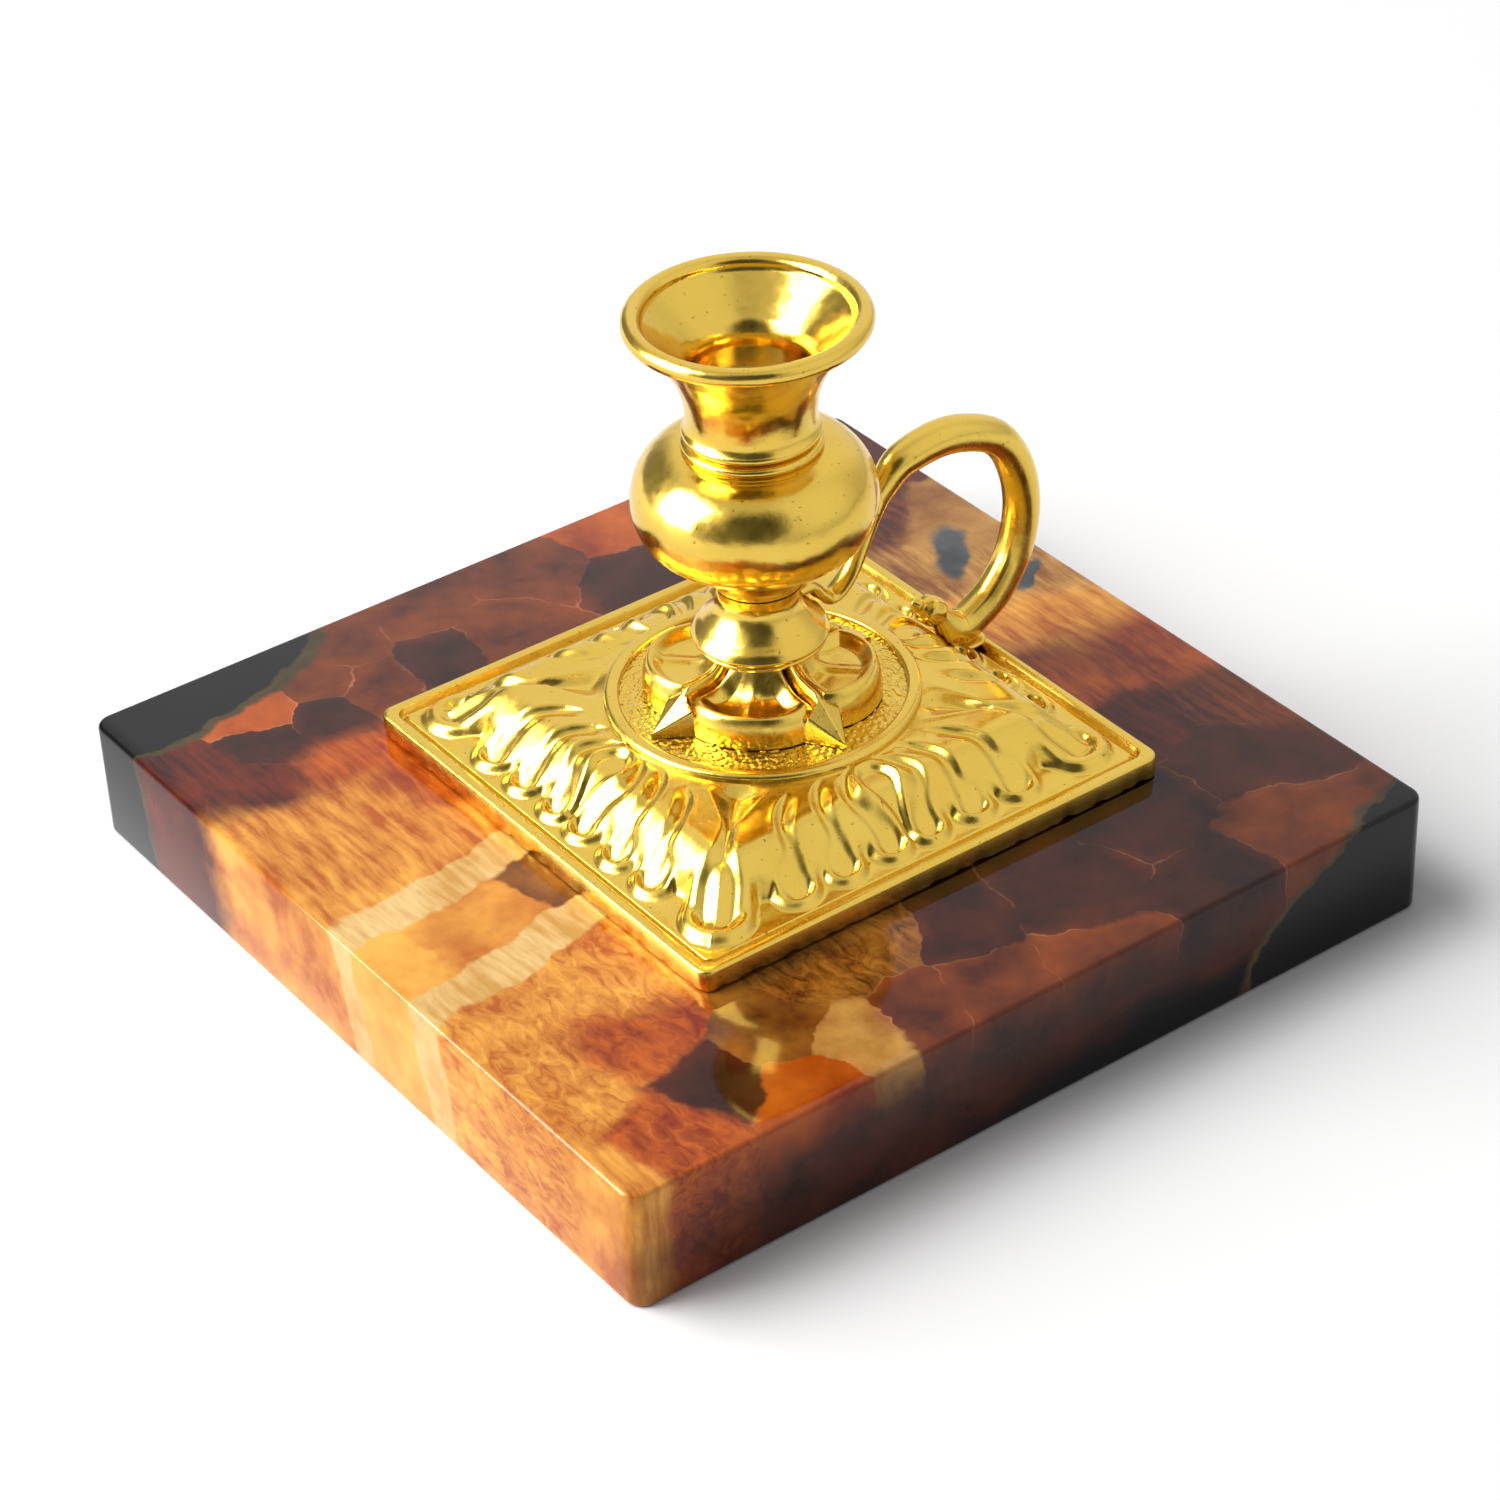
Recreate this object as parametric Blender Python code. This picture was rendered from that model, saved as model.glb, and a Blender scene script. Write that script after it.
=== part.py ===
"""Chamber candlestick of gilt brass castings bolted to a square slab of polished stone.

Units are metres, +Z is up, and the origin is the centre of the slab's underside.  The castings are
stacked on one long screw that stands on the candle axis and is drawn tight by a nut in a
counterbore under the slab.
"""
import math

import bmesh
import bpy
from mathutils import Matrix, Vector

MM = 0.001

# Fits shared by the whole stack.
SEAM_GAP = 0.2 * MM            # left between castings that sit on one another
GLUE_FILM = 0.2 * MM           # left between the foot plate and the stone
BORE_CLEARANCE = 0.3 * MM      # round the screw, all the way down the stack
SOCKET_CLEARANCE = 0.25 * MM   # round the handle's tenon and its rivet

# Stone slab.
SLAB_SIDE = 100.0 * MM
SLAB_THICK = 13.8 * MM
SLAB_CORNER_RADIUS = 2.0 * MM
SLAB_EDGE_BEVEL = 0.5 * MM
SLAB_HOLE_CLEARANCE = 1.0 * MM
COUNTERBORE_RADIUS = 7.5 * MM
COUNTERBORE_DEPTH = 6.6 * MM

# The candle axis stands a little off the middle of the slab.
AXIS_X = 2.2 * MM
AXIS_Y = -0.7 * MM

# Screw, washers and nut.
SCREW_RADIUS = 2.0 * MM
SCREW_HEAD_RADIUS = 3.5 * MM
SCREW_HEAD_HEIGHT = 1.4 * MM
SCREW_SLOT_WIDTH = 0.9 * MM
SCREW_SLOT_DEPTH = 0.7 * MM
SCREW_TAIL = 0.6 * MM          # stands out below the nut
WASHER_RADIUS = 6.5 * MM
WASHER_THICK = 1.1 * MM
LOCK_WASHER_RADIUS = 3.9 * MM
LOCK_WASHER_THICK = 0.9 * MM
LOCK_WASHER_SPLIT = 0.7 * MM
NUT_ACROSS_FLATS = 7.0 * MM
NUT_HEIGHT = 3.0 * MM

# Square foot plate: flat lip, groove, ledge, leaf border, roof and the ring round the medallion.
FOOT_SIDE = 58.5 * MM
FOOT_CORNER_RADIUS = 1.5 * MM
FOOT_LIP_HEIGHT = 2.4 * MM
FOOT_LIP_WIDTH = 1.3 * MM
FOOT_LIP_BEVEL = 0.3 * MM
GROOVE_WIDTH = 0.7 * MM
GROOVE_DEPTH = 0.6 * MM
LEDGE_DROP = 0.4 * MM
LEDGE_WIDTH = 0.9 * MM
ROOF_SIDE = 38.6 * MM
ROOF_HEIGHT = 7.4 * MM
SAIL_DIP = 0.25 * MM           # hollow of the roof between the ring and each corner
LOBE_RISE = 0.4 * MM
LOBE_PITCH = 5.6 * MM
LOBE_LEAN = 0.35               # how far the lobes draw together at the roof
LOBES_PER_HALF_SIDE = 3
RING_RADIUS = 15.75 * MM
RING_WIDTH = 1.5 * MM
RING_HEIGHT = 8.5 * MM
RING_RISE = 0.65 * MM
FOOT_RIM_WIDTH = 2.2 * MM      # flat rim that stands on the stone
FOOT_WALL = 1.7 * MM
FOOT_BOSS_RADIUS = 5.5 * MM

# Rosette of round petals on the diagonals and pointed sepals between them.
ROSETTE_HEIGHT = 6.1 * MM
ROSETTE_HUB_RADIUS = 4.9 * MM
PETAL_CENTRE = 5.5 * MM
PETAL_RADIUS = 6.5 * MM
PETAL_RIM_HEIGHT = 3.7 * MM
PETAL_DISH = 1.1 * MM
SEPAL_REACH = 14.2 * MM
SEPAL_HALF_WIDTH = 4.5 * MM
SEPAL_SHOULDER = 9.6 * MM     # distance from the axis where a sepal is widest
SEPAL_TIP_HEIGHT = 0.35 * MM
SEPAL_RISE = 3.4 * MM          # height of a sepal's ridge at its shoulder

# Turned knop with its waist.
KNOP_HEIGHT = 7.0 * MM
KNOP_LIP_RADIUS = 6.5 * MM
KNOP_RADIUS = 7.2 * MM
KNOP_RADIUS_HEIGHT = 1.3 * MM
KNOP_SHOULDER_RADIUS = 6.15 * MM
KNOP_SHOULDER_HEIGHT = 2.5 * MM
WAIST_RADIUS = 4.35 * MM
WAIST_HEIGHT = 5.6 * MM

# Turned bulb with the bead under the nozzle.
BULB_HEIGHT = 17.1 * MM
BULB_RADIUS = 12.45 * MM
BULB_EQUATOR = 9.95 * MM       # height of the equator over the bulb's foot
BULB_FOOT_RADIUS = 4.6 * MM
BULB_CHINE_RADIUS = 8.8 * MM   # where the round side turns into the hollow underside
BULB_CHINE_HEIGHT = 4.7 * MM
BULB_CHINE_SWEEP = 1.6         # exponent of the hollow underside
BULB_COVE_RADIUS = 6.9 * MM
BULB_COVE_DROP = 1.0 * MM
BULB_BEAD_RADIUS = 7.3 * MM

# Flared nozzle that takes the candle.
NOZZLE_HEIGHT = 13.9 * MM
NOZZLE_FOOT_RADIUS = 7.1 * MM
NECK_RADIUS = 6.65 * MM
NECK_HEIGHT = 1.9 * MM
FLARE_RADIUS = 10.9 * MM       # outside of the flare where it meets the rolled rim
RIM_BEAD_RADIUS = 1.0 * MM
RIM_RADIUS = 12.55 * MM
NOZZLE_FLOOR = 2.4 * MM
SOCKET_RADIUS = 5.6 * MM
SOCKET_DEPTH = 5.7 * MM        # straight part under the funnel

# Looped handle, drawn in the plane through the candle axis.
HANDLE_TENON_WALL = 1.0 * MM   # metal left between the screw's bore and the tenon's hole
HANDLE_ROOT_HEIGHT = 3.9 * MM  # height of the tenon over the knop's foot
HANDLE_ROOT_RADIUS = 0.75 * MM
HANDLE_DIP = 2.55 * MM
HANDLE_DIP_GAP = 0.75 * MM     # clear space between the knop and the bottom of the dip
HANDLE_STRIP_RISE = 5.4 * MM   # climb of the thin strip past the root
HANDLE_BULB_GAP = 4.2 * MM     # clear space between the bulb's girth and the handle's shoulder
HANDLE_RADIUS = 1.95 * MM
HANDLE_TOP = 29.0 * MM         # centre line of the loop over the foot's underside
HANDLE_OVERHANG = 5.5 * MM     # centre line beyond the foot's edge
BUD_RADIUS = 1.5 * MM
BUD_LENGTH = 3.1 * MM
BUD_NECK_RADIUS = 1.1 * MM
BUD_TIP_RADIUS = 0.75 * MM
BUD_TIP_LENGTH = 1.5 * MM
BUD_RISE = math.radians(40.0)
CURL_LENGTH = 4.4 * MM         # from the rivet to the bud
RIVET_RADIUS = 0.8 * MM
RIVET_INSET = 2.6 * MM         # from the foot's edge
RIVET_GRIP = 1.2 * MM          # length held in the handle
RIVET_LIFT = 0.2 * MM          # end of the rivet over the foot's underside

# Facets.
TURN_STEPS = 36
SIDE_STEPS = 36                # along one straight side of the foot's leaf border
BORDER_STEPS = 6
ROSETTE_STEPS = 80
HANDLE_SECTION = 12
SPAN_STEPS = 5                 # between neighbouring points of the handle's path

# Heights that follow from the stack.
BORE_RADIUS = SCREW_RADIUS + BORE_CLEARANCE
FOOT_BASE = SLAB_THICK + GLUE_FILM
LIP_TOP = FOOT_BASE + FOOT_LIP_HEIGHT
LEDGE_TOP = LIP_TOP - LEDGE_DROP
ROOF_TOP = FOOT_BASE + ROOF_HEIGHT
RING_TOP = FOOT_BASE + RING_HEIGHT
MEDALLION_TOP = RING_TOP - RING_RISE
ROSETTE_BASE = MEDALLION_TOP + SEAM_GAP
KNOP_BASE = ROSETTE_BASE + ROSETTE_HEIGHT + SEAM_GAP
BULB_BASE = KNOP_BASE + KNOP_HEIGHT + SEAM_GAP
NOZZLE_BASE = BULB_BASE + BULB_HEIGHT + SEAM_GAP
SOCKET_FLOOR = NOZZLE_BASE + NOZZLE_FLOOR
WASHER_TOP = COUNTERBORE_DEPTH - SEAM_GAP
LOCK_WASHER_TOP = WASHER_TOP - WASHER_THICK - SEAM_GAP
NUT_TOP = LOCK_WASHER_TOP - LOCK_WASHER_THICK - SEAM_GAP
SCREW_END = NUT_TOP - NUT_HEIGHT - SCREW_TAIL


def clear_scene():
    """Remove every object of the open scene."""
    for obj in list(bpy.data.objects):
        bpy.data.objects.remove(obj, do_unlink=True)


def linear(channel):
    """Return one sRGB channel as a linear value."""
    if channel <= 0.04045:
        return channel / 12.92
    return ((channel + 0.055) / 1.055) ** 2.4


def make_material(name, colour, roughness, metallic):
    """Return a Principled material with a colour given as sRGB hex."""
    material = bpy.data.materials.new(name)
    material.use_nodes = True
    shader = material.node_tree.nodes["Principled BSDF"]
    channels = [int(colour[i:i + 2], 16) / 255.0 for i in (1, 3, 5)]
    rgba = [linear(c) for c in channels] + [1.0]
    shader.inputs["Base Color"].default_value = rgba
    shader.inputs["Roughness"].default_value = roughness
    shader.inputs["Metallic"].default_value = metallic
    material.diffuse_color = rgba
    return material


def make_object(name, bm, material, parent=None):
    """Turn a bmesh into a named object with its faces pointing out."""
    bmesh.ops.recalc_face_normals(bm, faces=bm.faces)
    mesh = bpy.data.meshes.new(name)
    bm.to_mesh(mesh)
    bm.free()
    mesh.shade_smooth()
    mesh.set_sharp_from_angle(angle=math.radians(35.0))
    if material is not None:
        mesh.materials.append(material)
    obj = bpy.data.objects.new(name, mesh)
    bpy.context.scene.collection.objects.link(obj)
    obj.parent = parent
    return obj


def make_cutter(name, radius, start, end, parent):
    """Return a hidden round cutter that runs between two points."""
    bm = bmesh.new()
    axis = Vector(end) - Vector(start)
    turn = axis.to_track_quat("Z", "Y").to_matrix().to_4x4()
    middle = Matrix.Translation((Vector(start) + Vector(end)) / 2.0)
    bmesh.ops.create_cone(bm, cap_ends=True, segments=TURN_STEPS // 2, radius1=radius,
                          radius2=radius, depth=axis.length, matrix=middle @ turn)
    cutter = make_object(name, bm, None, parent)
    cutter.hide_render = True
    cutter.display_type = "WIRE"
    return cutter


def cut(obj, cutter):
    """Cut one object by another with an exact boolean."""
    boolean = obj.modifiers.new(cutter.name, "BOOLEAN")
    boolean.operation = "DIFFERENCE"
    boolean.solver = "EXACT"
    boolean.object = cutter


def blend(start, end, share):
    """Return the value a share of the way from start to end."""
    return start + (end - start) * share


def ease(share):
    """Return a share from 0 to 1 with a flat start and a flat end."""
    return share * share * (3.0 - 2.0 * share)


def arc(centre, radii, first, last, steps):
    """Return points of an elliptic arc as (radius, height) pairs, both ends included."""
    points = []
    for i in range(steps + 1):
        angle = math.radians(blend(first, last, i / steps))
        points.append((centre[0] + radii[0] * math.cos(angle),
                       centre[1] + radii[1] * math.sin(angle)))
    return points


def turned(name, profile, material, parent):
    """Spin a closed (radius, height) profile round the candle axis into a solid."""
    bm = bmesh.new()
    verts = [bm.verts.new((radius, 0.0, height)) for radius, height in profile]
    edges = [bm.edges.new((verts[i - 1], verts[i])) for i in range(len(verts))]
    bmesh.ops.spin(bm, geom=verts + edges, cent=(0.0, 0.0, 0.0), axis=(0.0, 0.0, 1.0),
                   angle=2.0 * math.pi, steps=TURN_STEPS, use_merge=True)
    bmesh.ops.remove_doubles(bm, verts=bm.verts, dist=1e-6)
    return make_object(name, bm, material, parent)


def skin(bm, outer, inner):
    """Join two closed loops, where one may have twice as many points as the other."""
    if len(outer) == len(inner):
        for i in range(len(outer)):
            bm.faces.new((outer[i - 1], outer[i], inner[i], inner[i - 1]))
        return
    fine, coarse = (outer, inner) if len(outer) > len(inner) else (inner, outer)
    for i in range(len(coarse)):
        this, following = coarse[i], coarse[(i + 1) % len(coarse)]
        middle = fine[2 * i + 1]
        bm.faces.new((this, fine[2 * i], middle))
        bm.faces.new((this, middle, following))
        bm.faces.new((following, middle, fine[(2 * i + 2) % len(fine)]))


def build_slab(material, axis):
    """Build the stone slab with its screw hole and the counterbore under it."""
    bm = bmesh.new()
    size = Matrix.Diagonal((SLAB_SIDE, SLAB_SIDE, SLAB_THICK, 1.0))
    lift = Matrix.Translation((0.0, 0.0, SLAB_THICK / 2.0))
    bmesh.ops.create_cube(bm, size=1.0, matrix=lift @ size)
    upright = [e for e in bm.edges if abs(e.verts[0].co.z - e.verts[1].co.z) > SLAB_THICK / 2.0]
    bmesh.ops.bevel(bm, geom=upright, offset=SLAB_CORNER_RADIUS, segments=6, profile=0.5,
                    affect="EDGES")
    rims = [e for e in bm.edges if abs(e.verts[0].co.z - e.verts[1].co.z) < SLAB_THICK / 2.0
            and len({f.normal.z > 0.5 or f.normal.z < -0.5 for f in e.link_faces}) == 2]
    bmesh.ops.bevel(bm, geom=rims, offset=SLAB_EDGE_BEVEL, segments=2, profile=0.5,
                    affect="EDGES")
    slab = make_object("stone_slab", bm, material)
    hole = make_cutter("slab_hole", BORE_RADIUS + SLAB_HOLE_CLEARANCE, (0.0, 0.0, -SLAB_THICK),
                       (0.0, 0.0, 2.0 * SLAB_THICK), axis)
    recess = make_cutter("slab_counterbore", COUNTERBORE_RADIUS, (0.0, 0.0, -SLAB_THICK),
                         (0.0, 0.0, COUNTERBORE_DEPTH), axis)
    cut(slab, hole)
    cut(slab, recess)


def square_loop(half, radius, fine):
    """Return (x, y, along) points of a rounded square; along runs from the middle of a side."""
    straight = half - radius
    steps = SIDE_STEPS
    side = []
    for angle in (-45.0, -22.5):
        turn = math.radians(angle)
        side.append((straight + radius * math.cos(turn), -straight + radius * math.sin(turn)))
    for i in range(steps + 1):
        side.append((half, blend(-straight, straight, i / steps)))
    turn = math.radians(22.5)
    side.append((straight + radius * math.cos(turn), straight + radius * math.sin(turn)))
    points = []
    for quarter in range(4):
        c, s = ((1, 0), (0, 1), (-1, 0), (0, -1))[quarter]
        for x, y in side[::1 if fine else 2]:
            points.append((x * c - y * s, x * s + y * c, abs(y)))
    return points


def round_loop(radius):
    """Return points of a circle that pair with the coarse points of a rounded square."""
    count = 2 * (SIDE_STEPS + 4)
    start = -math.pi / 4.0
    angles = [start + 2.0 * math.pi * i / count for i in range(count)]
    return [(radius * math.cos(a), radius * math.sin(a)) for a in angles]


def lobe_height(along, share):
    """Return the leaf border's rise at a place along a side, from ledge (0) to roof (1)."""
    tight = along * (1.0 + LOBE_LEAN * share)
    last = LOBES_PER_HALF_SIDE * LOBE_PITCH
    corner = FOOT_SIDE / 2.0 - FOOT_LIP_WIDTH - GROOVE_WIDTH - LEDGE_WIDTH
    if tight < last:
        swell = abs(math.sin(math.pi * tight / LOBE_PITCH))
    else:
        swell = abs(math.sin(math.pi * (tight - last) / max(corner - last, LOBE_PITCH)))
    return LOBE_RISE * swell * math.sin(math.pi * share) ** 0.5


def build_foot(material, axis):
    """Build the foot plate as one casting, open underneath, with a bored boss in the middle."""
    bm = bmesh.new()
    edge = FOOT_SIDE / 2.0
    lip_inner = edge - FOOT_LIP_WIDTH
    ledge_outer = lip_inner - GROOVE_WIDTH
    border_outer = ledge_outer - LEDGE_WIDTH
    roof = ROOF_SIDE / 2.0
    groove_floor = LEDGE_TOP - GROOVE_DEPTH
    corner = FOOT_CORNER_RADIUS
    ring_outer = RING_RADIUS + RING_WIDTH / 2.0
    ring_inner = RING_RADIUS - RING_WIDTH / 2.0
    roof_inside = ROOF_TOP - FOOT_WALL

    loops = []

    def add_square(half, height):
        loops.append([bm.verts.new((x, y, height))
                      for x, y, _ in square_loop(half, min(corner, half), False)])

    def add_round(radius, height):
        loops.append([bm.verts.new((x, y, height)) for x, y in round_loop(radius)])

    def add_sail(share, height):
        square = square_loop(roof, corner, False)
        circle = round_loop(ring_outer)
        loops.append([bm.verts.new((blend(p[0], q[0], share), blend(p[1], q[1], share), height))
                      for p, q in zip(square, circle)])

    add_square(edge, FOOT_BASE)
    add_square(edge, LIP_TOP - FOOT_LIP_BEVEL)
    add_square(edge - FOOT_LIP_BEVEL, LIP_TOP)
    add_square(lip_inner, LIP_TOP)
    add_square(lip_inner - GROOVE_WIDTH / 3.0, groove_floor)
    add_square(ledge_outer, groove_floor)
    add_square(ledge_outer, LEDGE_TOP)
    for i in range(BORDER_STEPS + 1):
        share = i / BORDER_STEPS
        half = blend(border_outer, roof, share)
        base = blend(LEDGE_TOP, ROOF_TOP, ease(share))
        points = square_loop(half, corner, True)
        loops.append([bm.verts.new((x, y, base + lobe_height(along, share)))
                      for x, y, along in points])
    add_sail(0.5, ROOF_TOP - SAIL_DIP)
    add_round(ring_outer, blend(ROOF_TOP, RING_TOP, 0.3))
    add_round(blend(ring_outer, RING_RADIUS, 0.4), RING_TOP)
    add_round(blend(ring_inner, RING_RADIUS, 0.4), RING_TOP)
    add_round(ring_inner, MEDALLION_TOP)
    add_round(FOOT_BOSS_RADIUS, MEDALLION_TOP)
    add_round(BORE_RADIUS, MEDALLION_TOP)
    add_round(BORE_RADIUS, FOOT_BASE)
    add_round(FOOT_BOSS_RADIUS, FOOT_BASE)
    add_round(FOOT_BOSS_RADIUS, roof_inside)
    add_round(blend(FOOT_BOSS_RADIUS, ring_inner, 0.8), roof_inside)
    add_square(roof - FOOT_WALL / 2.0, roof_inside)
    add_square(edge - FOOT_RIM_WIDTH - FOOT_WALL, FOOT_BASE + FOOT_WALL / 4.0)
    add_square(edge - FOOT_RIM_WIDTH, FOOT_BASE)
    for i in range(len(loops)):
        skin(bm, loops[i - 1], loops[i])
    foot = make_object("foot_plate", bm, material, axis)
    reach = edge - RIVET_INSET
    hole = make_cutter("foot_rivet_hole", RIVET_RADIUS + SOCKET_CLEARANCE,
                       (reach, 0.0, FOOT_BASE - FOOT_LIP_HEIGHT),
                       (reach, 0.0, LIP_TOP + FOOT_LIP_HEIGHT), axis)
    cut(foot, hole)


def petal_exit(angle):
    """Return where a ray off the petal's middle line leaves the petal, or the hub if it misses."""
    side = PETAL_CENTRE * math.sin(angle)
    if abs(side) >= PETAL_RADIUS or math.cos(angle) <= 0.0:
        return ROSETTE_HUB_RADIUS
    return PETAL_CENTRE * math.cos(angle) + math.sqrt(PETAL_RADIUS ** 2 - side ** 2)


def sepal_exit(angle):
    """Return where a ray off the sepal's middle line leaves the pointed sepal."""
    run = SEPAL_REACH - SEPAL_SHOULDER
    lean = abs(math.sin(angle)) * run + math.cos(angle) * SEPAL_HALF_WIDTH
    if math.cos(angle) <= 0.0 or lean <= 0.0:
        return ROSETTE_HUB_RADIUS
    flank = SEPAL_HALF_WIDTH / max(abs(math.sin(angle)), SEPAL_HALF_WIDTH / SEPAL_REACH)
    return min(SEPAL_REACH * SEPAL_HALF_WIDTH / lean, flank)


def build_rosette(material, axis):
    """Build the rosette: dished petals and ridged sepals that climb to a bored hub."""
    bm = bmesh.new()
    rows = []
    for i in range(ROSETTE_STEPS):
        angle = 2.0 * math.pi * i / ROSETTE_STEPS
        off_side = (angle + math.pi / 4.0) % (math.pi / 2.0) - math.pi / 4.0
        off_diagonal = angle % (math.pi / 2.0) - math.pi / 4.0
        petal = petal_exit(off_diagonal)
        sepal = sepal_exit(off_side)
        is_petal = petal > sepal
        reach = max(petal, sepal, ROSETTE_HUB_RADIUS + SEAM_GAP)
        edge = PETAL_RIM_HEIGHT if is_petal else SEPAL_TIP_HEIGHT
        rim = PETAL_RIM_HEIGHT if is_petal else blend(SEPAL_TIP_HEIGHT, SEPAL_RISE, 0.6)
        dish = rim - PETAL_DISH if is_petal else SEPAL_RISE
        mid = blend(dish, ROSETTE_HEIGHT, 0.35)
        section = ((BORE_RADIUS, 0.0), (reach, 0.0), (reach, edge * 0.4),
                   (blend(ROSETTE_HUB_RADIUS, reach, 0.88), blend(edge, rim, 0.5)),
                   (blend(ROSETTE_HUB_RADIUS, reach, 0.72), rim),
                   (blend(ROSETTE_HUB_RADIUS, reach, 0.48), dish),
                   (blend(ROSETTE_HUB_RADIUS, reach, 0.2), mid),
                   (ROSETTE_HUB_RADIUS, blend(mid, ROSETTE_HEIGHT, 0.6)),
                   (ROSETTE_HUB_RADIUS - SEAM_GAP, ROSETTE_HEIGHT),
                   (BORE_RADIUS, ROSETTE_HEIGHT))
        rows.append([bm.verts.new((r * math.cos(angle), r * math.sin(angle), ROSETTE_BASE + z))
                     for r, z in section])
    for i in range(len(rows)):
        skin(bm, rows[i - 1], rows[i])
    make_object("rosette", bm, material, axis)


def build_knop(material, axis):
    """Build the knop, whose waist takes the handle's tenon."""
    flare = []
    for i in range(7):
        share = i / 6
        swell = share ** 2 * 0.6 + ease(share) * 0.4
        flare.append((blend(WAIST_RADIUS, KNOP_SHOULDER_RADIUS, swell),
                      KNOP_BASE + blend(WAIST_HEIGHT, KNOP_SHOULDER_HEIGHT, share)))
    shoulder = [(blend(KNOP_SHOULDER_RADIUS, KNOP_RADIUS, 0.75),
                 KNOP_BASE + blend(KNOP_SHOULDER_HEIGHT, KNOP_RADIUS_HEIGHT, 0.55))]
    lip = [(KNOP_RADIUS, KNOP_BASE + KNOP_RADIUS_HEIGHT),
           (blend(KNOP_RADIUS, KNOP_LIP_RADIUS, 0.4), KNOP_BASE + KNOP_RADIUS_HEIGHT * 0.4),
           (KNOP_LIP_RADIUS, KNOP_BASE)]
    profile = [(BORE_RADIUS, KNOP_BASE + KNOP_HEIGHT), (BULB_FOOT_RADIUS, KNOP_BASE + KNOP_HEIGHT)]
    profile += flare + shoulder + lip + [(BORE_RADIUS, KNOP_BASE)]
    knop = turned("knop", profile, material, axis)
    height = KNOP_BASE + HANDLE_ROOT_HEIGHT
    socket = make_cutter("knop_tenon_hole", HANDLE_ROOT_RADIUS + SOCKET_CLEARANCE,
                         (BORE_RADIUS + HANDLE_TENON_WALL, 0.0, height),
                         (2.0 * KNOP_RADIUS, 0.0, height), axis)
    cut(knop, socket)


def build_bulb(material, axis):
    """Build the round bulb with its cove and the bead under the nozzle."""
    top = BULB_BASE + BULB_HEIGHT
    equator = BULB_BASE + BULB_EQUATOR
    cove = top - BULB_COVE_DROP
    bead = BULB_COVE_DROP / 2.0
    upper = arc((BULB_COVE_RADIUS, equator), (BULB_RADIUS - BULB_COVE_RADIUS, cove - equator),
                82.0, 0.0, 8)
    lower = arc((BULB_CHINE_RADIUS, equator),
                (BULB_RADIUS - BULB_CHINE_RADIUS, BULB_EQUATOR - BULB_CHINE_HEIGHT), -14.0, -84.0, 5)
    hollow = []
    for i in range(6):
        share = 1.0 - i / 5
        hollow.append((blend(BULB_FOOT_RADIUS, BULB_CHINE_RADIUS, share ** BULB_CHINE_SWEEP),
                       BULB_BASE + BULB_CHINE_HEIGHT * share))
    profile = [(BORE_RADIUS, top), (BULB_BEAD_RADIUS - bead / 2.0, top)]
    profile += arc((BULB_BEAD_RADIUS - bead, top - bead), (bead, bead), 60.0, -60.0, 4)
    profile += upper + lower + hollow + [(BORE_RADIUS, BULB_BASE)]
    turned("bulb", profile, material, axis)


def build_nozzle(material, axis):
    """Build the flared nozzle: rolled rim, funnel, straight socket and a bored floor."""
    rim_top = NOZZLE_BASE + NOZZLE_HEIGHT
    bead = (RIM_RADIUS - RIM_BEAD_RADIUS, rim_top - RIM_BEAD_RADIUS)
    neck = NOZZLE_BASE + NECK_HEIGHT
    flare_top = rim_top - 2.0 * RIM_BEAD_RADIUS - RIM_BEAD_RADIUS / 2.0
    outside = []
    for i in range(8):
        share = 1.0 - i / 7
        outside.append((blend(NECK_RADIUS, FLARE_RADIUS, share ** 2.2),
                        blend(neck, flare_top, share)))
    socket_top = SOCKET_FLOOR + SOCKET_DEPTH
    funnel_top = bead[0] - RIM_BEAD_RADIUS * 0.9
    inside = []
    for i in range(7):
        share = i / 6
        inside.append((blend(SOCKET_RADIUS, funnel_top, share),
                       blend(socket_top, bead[1], share)))
    profile = [(BORE_RADIUS, SOCKET_FLOOR), (SOCKET_RADIUS, SOCKET_FLOOR)] + inside
    profile += arc(bead, (RIM_BEAD_RADIUS, RIM_BEAD_RADIUS), 135.0, -60.0, 8)
    profile += outside + [(NOZZLE_FOOT_RADIUS, NOZZLE_BASE), (BORE_RADIUS, NOZZLE_BASE)]
    turned("nozzle", profile, material, axis)


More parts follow.
